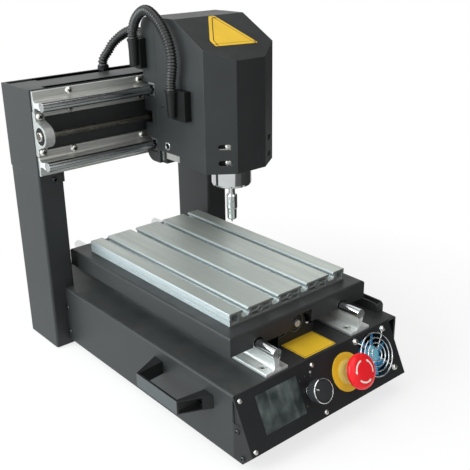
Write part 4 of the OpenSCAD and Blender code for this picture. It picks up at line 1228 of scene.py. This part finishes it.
@dataclass
class ControlPanel:
    """Slanted front: screen, knob, stop button and fan."""

    knob: Pair = (-33.5, -32.0)
    stop: Pair = (26.7, -32.7)
    fan: Pair = (76.3, -30.2)
    lamp: Pair = (-24.5, -13.8)
    screen: Pair = (-75.0, -31.25)
    screen_size: Pair = (58.8, 42.3)
    fan_pitch: float = 48.0
    scale_radius: float = 16.6
    arrow_radius: float = 12.4
    arrow_width: float = 0.95
    head_width: float = 1.9
    head_from: float = 0.8
    tip_width: float = 0.02
    dome_radius: float = 90.0
    dome_top: float = 30.0

    def build(self, screws: Fasteners) -> None:
        """Adds every piece of the panel.

        Args:
            screws: The maker of screw heads.
        """
        corners = [(-124, -7.5), (-124, -62.3), (-19.3, -7.5), (-19.3, -62.0)]
        screws.set_in("panel_screws", seats(PANEL, corners), Head.PAN, 2.8, 11, Paint.SCREW)
        half = self.fan_pitch / 2
        around = [(self.fan[0] + x, self.fan[1] + y) for x in (-half, half) for y in (-half, half)]
        screws.set_in("fan_screws", seats(PANEL, around, 1.6), Head.PAN, 3.4, 12, Paint.SCREW)
        self.screen_film()
        self.lamp_lens()
        self.knob_trim()
        self.stop_arrows()
        self.fan_label()

    def screen_film(self) -> None:
        """Adds the glossy film over the screen: a thin sheet with lifted creases."""
        width, height = self.screen_size
        where = PANEL.frame(*self.screen)
        columns, rows = 40, 30
        form = Form()
        grid = []
        for j in range(rows + 1):
            line = []
            for i in range(columns + 1):
                x, y = (i / columns - 0.5) * width, (j / rows - 0.5) * height
                fade = min(1.0, 6 * min(i, columns - i) / columns, 6 * min(j, rows - j) / rows)
                wave = (math.sin(x * 0.21 + y * 0.33 + 1.1 * math.sin(y * 0.12))
                        + 0.6 * math.sin(x * 0.47 - y * 0.19 + 2.0))
                line.append(where @ Vector((x, y, 0.12 + 0.1 * fade * (1 + 0.45 * wave))))
            grid.append(form.ring(line))
        form.skin(grid, closed=False)
        rim = [*grid[0], *(row[-1] for row in grid[1:-1]), *reversed(grid[-1]),
               *(row[0] for row in reversed(grid[1:-1]))]
        inverse = where.inverted()
        foot = form.ring([where @ Vector(((inverse @ v.co).x, (inverse @ v.co).y, 0.0)) for v in rim])
        form.skin([foot, rim])
        form.mesh.faces.new(list(reversed(foot)))
        form.piece("screen_film", Paint.SCREEN, smooth=40.0)

    def lamp_lens(self) -> None:
        """Adds the small indicator lamp."""
        dome = [(1.5, -1.0), (1.5, 0.2), (1.35, 0.7), (1.0, 1.1), (0.5, 1.35), (0.12, 1.4)]
        form = Form()
        form.closed(form.turned(dome, PANEL.frame(*self.lamp), 20)).piece("lamp_lens", Paint.LAMP)

    def knob_trim(self) -> None:
        """Adds the knob's bright rim, its pointer and the scale on the panel."""
        where = PANEL.frame(*self.knob)
        rim = [(12.6, 23.5), (12.65, 24.35), (13.0, 24.45), (13.6, 23.9), (13.65, 23.3), (13.3, 23.0)]
        Form().lathe(rim, where, 64).piece("knob_rim", Paint.CHROME, Body.KNOB)
        bar = rectangle(0.9, 4.2, (0, 8.6))
        pointer = Form().plate(bar, 24.15, 24.3, where @ turned_by(62, "Z"))
        pointer.piece("knob_pointer", Paint.WHITE, Body.KNOB)
        tick = Form().plate(rectangle(0.35, 1.8), 0.0, 0.08, Matrix.Identity(4))
        mark = bpy.data.objects.new("scale_mark", tick.finished("scale_mark"))
        ticks = []
        for step in range(11):
            angle = math.radians(-150 + 30 * step)
            spot = PANEL.at(self.knob[0] + self.scale_radius * math.sin(angle),
                            self.knob[1] + self.scale_radius * math.cos(angle))
            ticks.append(Seat(spot, PANEL.out, -angle))
        mesh = grow("knob_scale", TREES.field, point_mesh(ticks), {
            "Part": mark, "Finish": Paint.MARK.material(), "Size": MM, "Turn Spread": 0.0, "Seed": 1})
        bpy.data.objects.remove(mark)
        add_piece("knob_scale", mesh, Paint.MARK, Body.FRAME)

    def stop_arrows(self) -> None:
        """Adds the three curved arrows that show how the stop button turns."""
        where = PANEL.frame(*self.stop)

        def on_dome(radius: float, angle: float) -> Vector:
            """A point just above the button's dome."""
            height = self.dome_top + 0.08 - self.dome_radius + math.sqrt(self.dome_radius ** 2 - radius ** 2)
            return where @ Vector((radius * math.cos(angle), radius * math.sin(angle), height))

        form = Form()
        for arm in range(3):
            start = math.radians(96 + 120 * arm)
            rows = []
            for step in range(19):
                share = step / 18
                angle = start + math.radians(84) * share
                width = self.arrow_width
                if share >= self.head_from:
                    width = self.head_width * (1 - share) / 0.2 + self.tip_width
                rows.append(form.ring([on_dome(self.arrow_radius + side * width, angle) for side in (-1, 1)]))
            form.skin(rows, closed=False)
        shell = form.finished("stop_arrows")
        thick = bmesh.new()
        thick.from_mesh(shell)
        bmesh.ops.solidify(thick, geom=thick.faces[:], thickness=0.00006)
        thick.to_mesh(shell)
        thick.free()
        add_piece("stop_arrows", shell, Paint.WHITE, Body.STOP)

    def fan_label(self) -> None:
        """Adds the round foil on the fan's hub."""
        disc = [(9.8, -3.0), (9.8, -2.62), (9.4, -2.5), (0.4, -2.5)]
        form = Form()
        form.closed(form.turned(disc, PANEL.frame(*self.fan), 40)).piece("fan_foil", Paint.FOIL, Body.FAN)


@dataclass
class Gantry:
    """Columns, beam and X guides: bolts, rail screws, painted shade strips on the beam and bearing inserts.
    """

    rail_x: tuple[float, ...] = (-99.5, 3.0, 105.5)
    rail_z: Pair = (259.7, 332.7)
    screw_side: float = 11.4
    bearing_z: Pair = (274.6, 318.6)
    flange_y: float = 338.5
    ear_y: float = 335.5
    beam_top: float = 350.0
    beam_back: float = 411.6
    bearing_x: float = -149.0
    screw_y: float = 326.0
    screw_z: float = 296.6

    def build(self, screws: Fasteners) -> None:
        """Adds every piece of the gantry.

        Args:
            screws: The maker of screw heads.
        """
        flange = Face((0, self.flange_y, 0), (1, 0, 0), (0, 0, 1))
        upper = [(x, z + self.screw_side) for x in self.rail_x for z in self.rail_z]
        lower = [(x, z - self.screw_side) for x in self.rail_x for z in self.rail_z]
        screws.set_in("x_rail_screws", seats(flange, upper, -0.4), Head.PAN, 4.8, 21, Paint.SCREW)
        screws.set_in("x_rail_lower_screws", seats(flange, lower, 0.2), Head.SOCKET, 3.4, 22, Paint.SCREW)
        ears = Face((0, self.ear_y, 0), (1, 0, 0), (0, 0, 1))
        blocks = [(x, z) for x in (-143, 133) for z in self.bearing_z]
        screws.set_in("x_bearing_screws", seats(ears, blocks), Head.PAN, 5.0, 23, Paint.SCREW)
        feet = [(-128.5, 235), (128.5, 235)]
        screws.set_in("column_bolts", seats(GANTRY_FRONT, feet), Head.BUTTON, 3.6, 24)
        rear = [(x, z) for x in (-133, 133) for z in (120, 230, 262, 332)]
        screws.set_in("gantry_rear_bolts", seats(GANTRY_BACK, rear), Head.BUTTON, 4.0, 25)
        top = Face((0, 0, self.beam_top), (1, 0, 0), (0, 1, 0)).frame(0, 0)
        # Deep black strips on the beam's top and in its rear groove are painted shade.
        beam_shade_strips = Form().plate(rectangle(224.0, 6.0, (0, 396.6)), 0.0, 0.2, top)
        beam_shade_strips.plate(rectangle(224.0, 3.0, (0, 348.5)), 0.0, 0.3,
                      Face((0, self.beam_back, 0), (1, 0, 0), (0, 0, 1)).frame(0, 0))
        beam_shade_strips.plate(rectangle(256.0, 9.0, (0, 348.3)), 0.0, 0.2, top)
        beam_shade_strips.piece("beam_channel", Paint.PAINTED_SHADE)
        self.bearing_inserts()

    def bearing_inserts(self) -> None:
        """Adds the ball bearing seen in the left X screw block, and the screw's centred end."""
        middle = place(self.bearing_x, self.screw_y, self.screw_z)
        where = Matrix.Translation(middle) @ turned_by(-90, "Y") @ Matrix.Scale(MM, 4)
        race = [(10.8, -0.9), (10.9, 0.5), (13.3, 0.5), (13.6, -0.9)]
        seal = [(5.7, -0.9), (5.7, 0.2), (10.8, 0.2), (10.8, -0.9)]
        collar = [(4.2, -0.9), (4.2, 2.2), (4.4, 2.5), (5.2, 2.5), (5.4, 2.2), (5.4, -0.9)]
        for name, ring, finish, body in (("left_race", race, Paint.CAST, Body.FRAME),
                                         ("left_seal", seal, Paint.DARK, Body.FRAME),
                                         ("left_collar", collar, Paint.SCREW, Body.X_SCREW)):
            Form().lathe(ring, where, 40).piece(name, finish, body)


@dataclass
class Table:
    """Y guides and the T-slot table: rail screws."""

    rail_x: Pair = (-66.5, 66.5)
    screw_side: float = 9.5
    flange_top: float = 87.6
    ear_top: float = 96.5
    first_y: float = 14.6
    pitch: float = 100.0
    count: int = 4

    def build(self, screws: Fasteners) -> None:
        """Adds every piece of the guides.

        Args:
            screws: The maker of screw heads.
        """
        flange = Face((0, 0, self.flange_top), (1, 0, 0), (0, 1, 0))
        spots = [(x + side * self.screw_side, self.first_y + self.pitch * i)
                 for x in self.rail_x for side in (-1, 1) for i in range(self.count)]
        screws.set_in("y_rail_screws", seats(flange, spots, 1.2), Head.SOCKET, 3.6, 31, Paint.SCREW)
        ear = Face((0, 0, self.ear_top), (1, 0, 0), (0, 1, 0))
        blocks = [(x, y) for x in (-22, 22) for y in (47, 271)]
        screws.set_in("y_bearing_screws", seats(ear, blocks), Head.PAN, 4.0, 32, Paint.SCREW)


@dataclass
class MillingHead:
    """Head cover and X carriage: plates, screws and painted shade behind the slots."""

    left_slots: tuple[Pair, ...] = ((24.2, 276.4), (24.2, 256.2))
    right_slots: tuple[Pair, ...] = ((21.3, 275.6), (21.3, 254.4))
    plate_corner: float = 2.4
    strip_depth: float = 5.6
    screw_shift: float = 4.2
    access_hole: Triple = (7.6, 287, 263.5)

    def build(self, screws: Fasteners) -> None:
        """Adds every piece of the head.

        Args:
            screws: The maker of screw heads.
        """
        slope = math.hypot(*ROOF.along[1:]) / ROOF.along[1]
        upper = [(30.1, 210.8), (94.7, 207.6)]
        outline = [*((x, (y - ROOF.corner[1]) * slope) for x, y in upper), (70.5, -1.5), (61.4, -1.5),
                   (30.0, (221.7 - ROOF.corner[1]) * slope)]
        outline = rounded(outline, self.plate_corner, 3)
        add_plate("roof_plate", outline, ROOF.frame(0, 0), (4.0, 1.2), 0.56, Body.HEAD)
        left = seats(LEFT_CHAMFER, [(u + self.screw_shift, v) for u, v in self.left_slots], -self.strip_depth)
        right = seats(RIGHT_CHAMFER, self.right_slots, -self.strip_depth)
        screws.set_in("head_screws", left, Head.PAN, 4.8, 41, Paint.SCREW, Body.HEAD)
        # The right chamfer's screws take the dark finish as painted shade.
        screws.set_in("head_right_screws", right, Head.PAN, 4.7, 43, body=Body.HEAD)
        # Dark plates behind the slots are painted shade inside them.
        slot_shade_plates = Form()
        for face, slots in ((LEFT_CHAMFER, self.left_slots), (RIGHT_CHAMFER, self.right_slots)):
            for u, v in slots:
                slot_shade_plates.plate(rectangle(20.0, 10.0), 0.0, 0.3, face.frame(u, v, -self.strip_depth))
        slot_shade_plates.piece("slot_washers", Paint.DARK, Body.HEAD)
        side = seats(HEAD_LEFT, [(12.1, 315.2)])
        screws.set_in("head_side_screws", side, Head.PAN, 2.2, 42, body=Body.HEAD)
        self.bush()

    def bush(self) -> None:
        """Adds the bright bush of the access hole."""
        where = Matrix.Translation(place(*self.access_hole)) @ turned_by(-90, "Y") @ Matrix.Scale(MM, 4)
        ring = [(3.7, -1.9), (3.7, 0.25), (4.0, 0.45), (5.0, 0.45), (5.3, 0.2), (5.3, 0.0), (4.45, 0.0),
                (4.45, -1.9)]
        Form().lathe(ring, where, 36).piece("hole_bush", Paint.CHROME, Body.HEAD)


SPAN_STEPS = 16


@dataclass
class Hoses:
    """The two ribbed conduits."""

    radius: float = 6.6
    rib: float = 1.3
    pitch: float = 3.6
    rib_steps: int = 6
    sides: int = 20
    head_route: tuple[Triple, ...] = (
        (-5, 333, 396.5), (-5, 333, 407), (-5, 326, 420), (-5, 314, 429.7), (-5, 301, 433.6),
        (-5, 288, 429.7), (-5, 274, 420), (-5, 261, 405), (-5, 254, 390), (-5, 252, 374), (-5, 256, 352),
        (-5, 256, 341.5))
    beam_route: tuple[Triple, ...] = (
        (-8, 406, 355.5), (-8, 406, 360), (-6, 405, 366), (-0.5, 402, 374.5), (5, 399, 383.5),
        (12.9, 392, 392.9), (19.3, 380, 400), (23, 366, 400.5), (24, 352, 397), (24, 343, 394.5),
        (24, 339, 394), (24, 333.8, 394))

    @staticmethod
    def smooth(route: Sequence[Triple]) -> list[Vector]:
        """Runs one smooth line through the points of a route.

        Args:
            route: Points in machine millimetres.

        Returns:
            Close points in the shared frame.
        """
        points = [place(*p) for p in route]
        result = []
        last = len(points) - 1
        for i in range(last):
            a, b, c, d = (points[min(max(i + k, 0), last)] for k in (-1, 0, 1, 2))
            for j in range(SPAN_STEPS):
                t = j / SPAN_STEPS
                result.append(0.5 * (2 * b + (c - a) * t + (2 * a - 5 * b + 4 * c - d) * t * t
                                     + (3 * b - a - 3 * c + d) * t ** 3))
        return [*result, points[-1]]

    def conduit(self, name: str, route: Sequence[Triple]) -> Object:
        """Makes one ribbed conduit.

        Args:
            name: Name of the piece.
            route: Its middle line.

        Returns:
            The piece, not yet tied to a body.
        """
        line = self.smooth(route)
        path = bpy.data.meshes.new("path")
        path.from_pydata(line, [(i, i + 1) for i in range(len(line) - 1)], [])
        mesh = grow(name, TREES.hose, path, {
            "Outer Radius": self.radius * MM, "Rib Depth": self.rib * MM, "Rib Pitch": self.pitch * MM,
            "Step": self.pitch * MM / self.rib_steps, "Sides": self.sides, "Finish": Paint.HOSE.material()})
        piece = in_scene(name, mesh)
        LOG.info("%s: %d faces, %s", name, len(mesh.polygons), Paint.HOSE.name)
        return piece

    def build(self) -> None:
        """Adds both conduits in place of the plain hose nodes."""
        head = self.conduit("head_conduit", self.head_route)
        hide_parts("hose_head")
        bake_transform(head)
        beam = self.conduit("beam_conduit", self.beam_route)
        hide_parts("hose_beam")
        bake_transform(beam)


# ------------------------------------------------------------------ studio

@dataclass
class Studio:
    """Camera, floor, lamps and sky."""

    DAYLIGHT: ClassVar[Colour] = (0.90, 1.0, 1.02)
    WARM: ClassVar[Colour] = (1.0, 0.985, 0.95)

    azimuth: float = -40.26
    elevation: float = 21.72
    roll: float = -0.94
    lens: float = 58.93
    sensor: float = 36.0
    stand: Triple = (-554.05, -508.38, 524.4)
    glow_from_to: Pair = (0.28, 0.54)
    glow_share: Pair = (0.74, 1.0)
    floor_reach: float = 12.0
    sky_light: float = 0.42

    def build(self) -> None:
        """Adds the whole studio."""
        self.camera()
        self.sky()
        self.floor()
        self.lamp("left_window", (-1.5, 0.35, 0.75), (0, 0, 0.15), 1.6, 1.3, 40.0, self.DAYLIGHT)
        self.lamp("top_box", (-0.25, -0.25, 1.9), (0, 0, 0.15), 1.6, 1.6, 13.0, self.WARM)
        self.lamp("front_fill", (0.0, -2.0, 1.1), (0, 0, 0.15), 1.2, 0.9, 4.0, self.WARM)
        self.flag("floor_flag", (0.24, -1.6, 0.004), (1.06, 0, 0), (0, 1.75, 0))
        self.flag("rear_floor_flag", (0.24, 0.15, 0.004), (1.06, 0, 0), (0, 0.8, 0), 0.55)
        self.flag("ceiling_flag", (0.5, -1.3, 2.3), (2.4, 0, 0), (0, 2.6, 0), 0.06)
        self.flag("front_floor_flag", (-0.2, -1.6, 0.004), (0.44, 0, 0), (0, 1.3, 0), 0.10)
        self.flag("low_right_flag", (1.3, -2.8, 0.0), (0, 3.5, 0), (0, 0, 0.9))
        self.flag("middle_right_flag", (1.3, -2.8, 1.0), (0, 3.5, 0), (0, 0, 0.7))
        self.flag("high_right_flag", (1.3, -2.8, 1.8), (0, 3.5, 0), (0, 0, 1.0))

    def camera(self) -> None:
        """Adds the camera at its stand."""
        az, el, roll = (math.radians(v) for v in (self.azimuth, self.elevation, self.roll))
        back = Vector((math.sin(az) * math.cos(el), -math.cos(az) * math.cos(el), math.sin(el)))
        right = Vector((math.cos(az), math.sin(az), 0.0))
        up = back.cross(right)
        c, s = math.cos(roll), math.sin(roll)
        axes = Matrix((right * c + up * s, up * c - right * s, back)).transposed()
        data = bpy.data.cameras.new("camera")
        data.lens = self.lens
        data.sensor_width = self.sensor
        eye = in_scene("camera", data)
        eye.matrix_world = Matrix.Translation(place(*self.stand)) @ axes.to_4x4()
        bpy.context.scene.camera = eye
        bpy.context.scene.view_settings.view_transform = "Standard"

    @staticmethod
    def seen(s: Sketch) -> Socket:
        """Gives 1 for rays that show the background: straight, mirrored or passed through."""
        path = s.put("ShaderNodeLightPath")
        both = s.sum_up("MAXIMUM", path.outputs["Is Camera Ray"], path.outputs["Is Glossy Ray"])
        return s.sum_up("MAXIMUM", both, path.outputs["Is Transmission Ray"])

    def sky(self) -> None:
        """Makes the surroundings plain white to the eye and a soft light to surfaces."""
        world = bpy.data.worlds.new("sky")
        world.use_nodes = True
        bpy.context.scene.world = world
        s = Sketch(world.node_tree)
        backdrop = world.node_tree.nodes["Background"]
        backdrop.inputs["Color"].default_value = (1.0, 1.0, 1.0, 1.0)
        s.give(backdrop, {"Strength": s.spread(self.seen(s), 0.0, 1.0, self.sky_light, 1.0)})

    def floor(self) -> None:
        """Adds the pale floor, which keeps the machine's shadow."""
        made, s, shader = new_material("pale_floor")
        where = s.where()
        s.give(shader, {"Base Color": s.mix(s.noise(where, 3.0), (0.90, 0.90, 0.90), (0.93, 0.93, 0.93)),
                        "Roughness": 0.8, "Specular IOR Level": 0.2})
        glow = s.put("ShaderNodeEmission", {"Strength": 1.0})
        away = s.put("ShaderNodeVectorMath", {0: where}, operation="LENGTH").outputs["Value"]
        share = s.times(self.seen(s), s.spread(away, *self.glow_from_to, *self.glow_share))
        blend = s.put("ShaderNodeMixShader", {0: share, 1: shader.outputs[0], 2: glow.outputs[0]})
        s.give(made.node_tree.nodes["Material Output"], {"Surface": blend.outputs[0]})
        reach = self.floor_reach
        self.card("floor", made, (-reach, -reach, 0), (2 * reach, 0, 0), (0, 2 * reach, 0))

    @staticmethod
    def card(name: str, made: bpy.types.Material, corner: Triple,
             along: Triple, up: Triple) -> Object:
        """Adds one flat sheet of the studio.

        Args:
            name: Name of the sheet.
            made: Its material.
            corner: One corner in metres.
            along: One side as a vector in metres.
            up: The other side as a vector in metres.

        Returns:
            The sheet.
        """
        first, side, rise = Vector(corner), Vector(along), Vector(up)
        mesh = bpy.data.meshes.new(name)
        mesh.from_pydata([first, first + side, first + side + rise, first + rise], [], [(0, 1, 2, 3)])
        mesh.materials.append(made)
        sheet = in_scene(name, mesh)
        return sheet

    def flag(self, name: str, corner: Triple, along: Triple,
             up: Triple, grey: float = 0.03) -> None:
        """Adds a dark flag that only mirrors see, so that bare metal and gloss get dark bands.

        Args:
            name: Name of the flag.
            corner: One corner in metres.
            along: One side as a vector in metres.
            up: The other side as a vector in metres.
            grey: Its tone in linear light.
        """
        made, s, shader = new_material(name)
        s.give(shader, {"Base Color": (grey, grey, grey, 1.0), "Roughness": 1.0})
        sheet = self.card(name, made, corner, along, up)
        for kind in ("camera", "diffuse", "shadow", "transmission", "volume_scatter"):
            setattr(sheet, f"visible_{kind}", False)

    @staticmethod
    def lamp(name: str, stand: Triple, aim: Triple,
             width: float, height: float, power: float, colour: Colour) -> None:
        """Adds a soft lamp.

        Args:
            name: Name of the lamp.
            stand: Where it stands, in metres.
            aim: The point it faces, in metres.
            width: Width of its panel in metres.
            height: Height of its panel in metres.
            power: Its power in watts.
            colour: Its colour.
        """
        data = bpy.data.lights.new(name, "AREA")
        data.shape = "RECTANGLE"
        data.size, data.size_y, data.energy, data.color = width, height, power, colour
        lamp = in_scene(name, data)
        lamp.location = stand
        lamp.rotation_mode = "QUATERNION"
        lamp.rotation_quaternion = (Vector(aim) - Vector(stand)).to_track_quat("-Z", "Y")
        lamp.visible_camera = False


def dress_nodes() -> None:
    """Gives every carried-over node its finish."""
    for name, finish in NODE_FINISHES.items():
        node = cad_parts[name]
        for holder in node.material_slots:
            holder.material = finish.material()
        if not node.material_slots:
            node.data.materials.append(finish.material())
        LOG.info("%s: %s", name, finish.name)


def main() -> None:
    """Builds the studio, dresses the nodes and adds every piece."""
    logging.basicConfig(level=logging.INFO, format="%(name)s: %(message)s")
    Studio().build()
    dress_nodes()
    screws = Fasteners()
    Chassis().build(screws)
    ControlPanel().build(screws)
    Gantry().build(screws)
    Table().build(screws)
    MillingHead().build(screws)
    screws.drop_parts()
    Hoses().build()


if __name__ == "__main__":
    main()
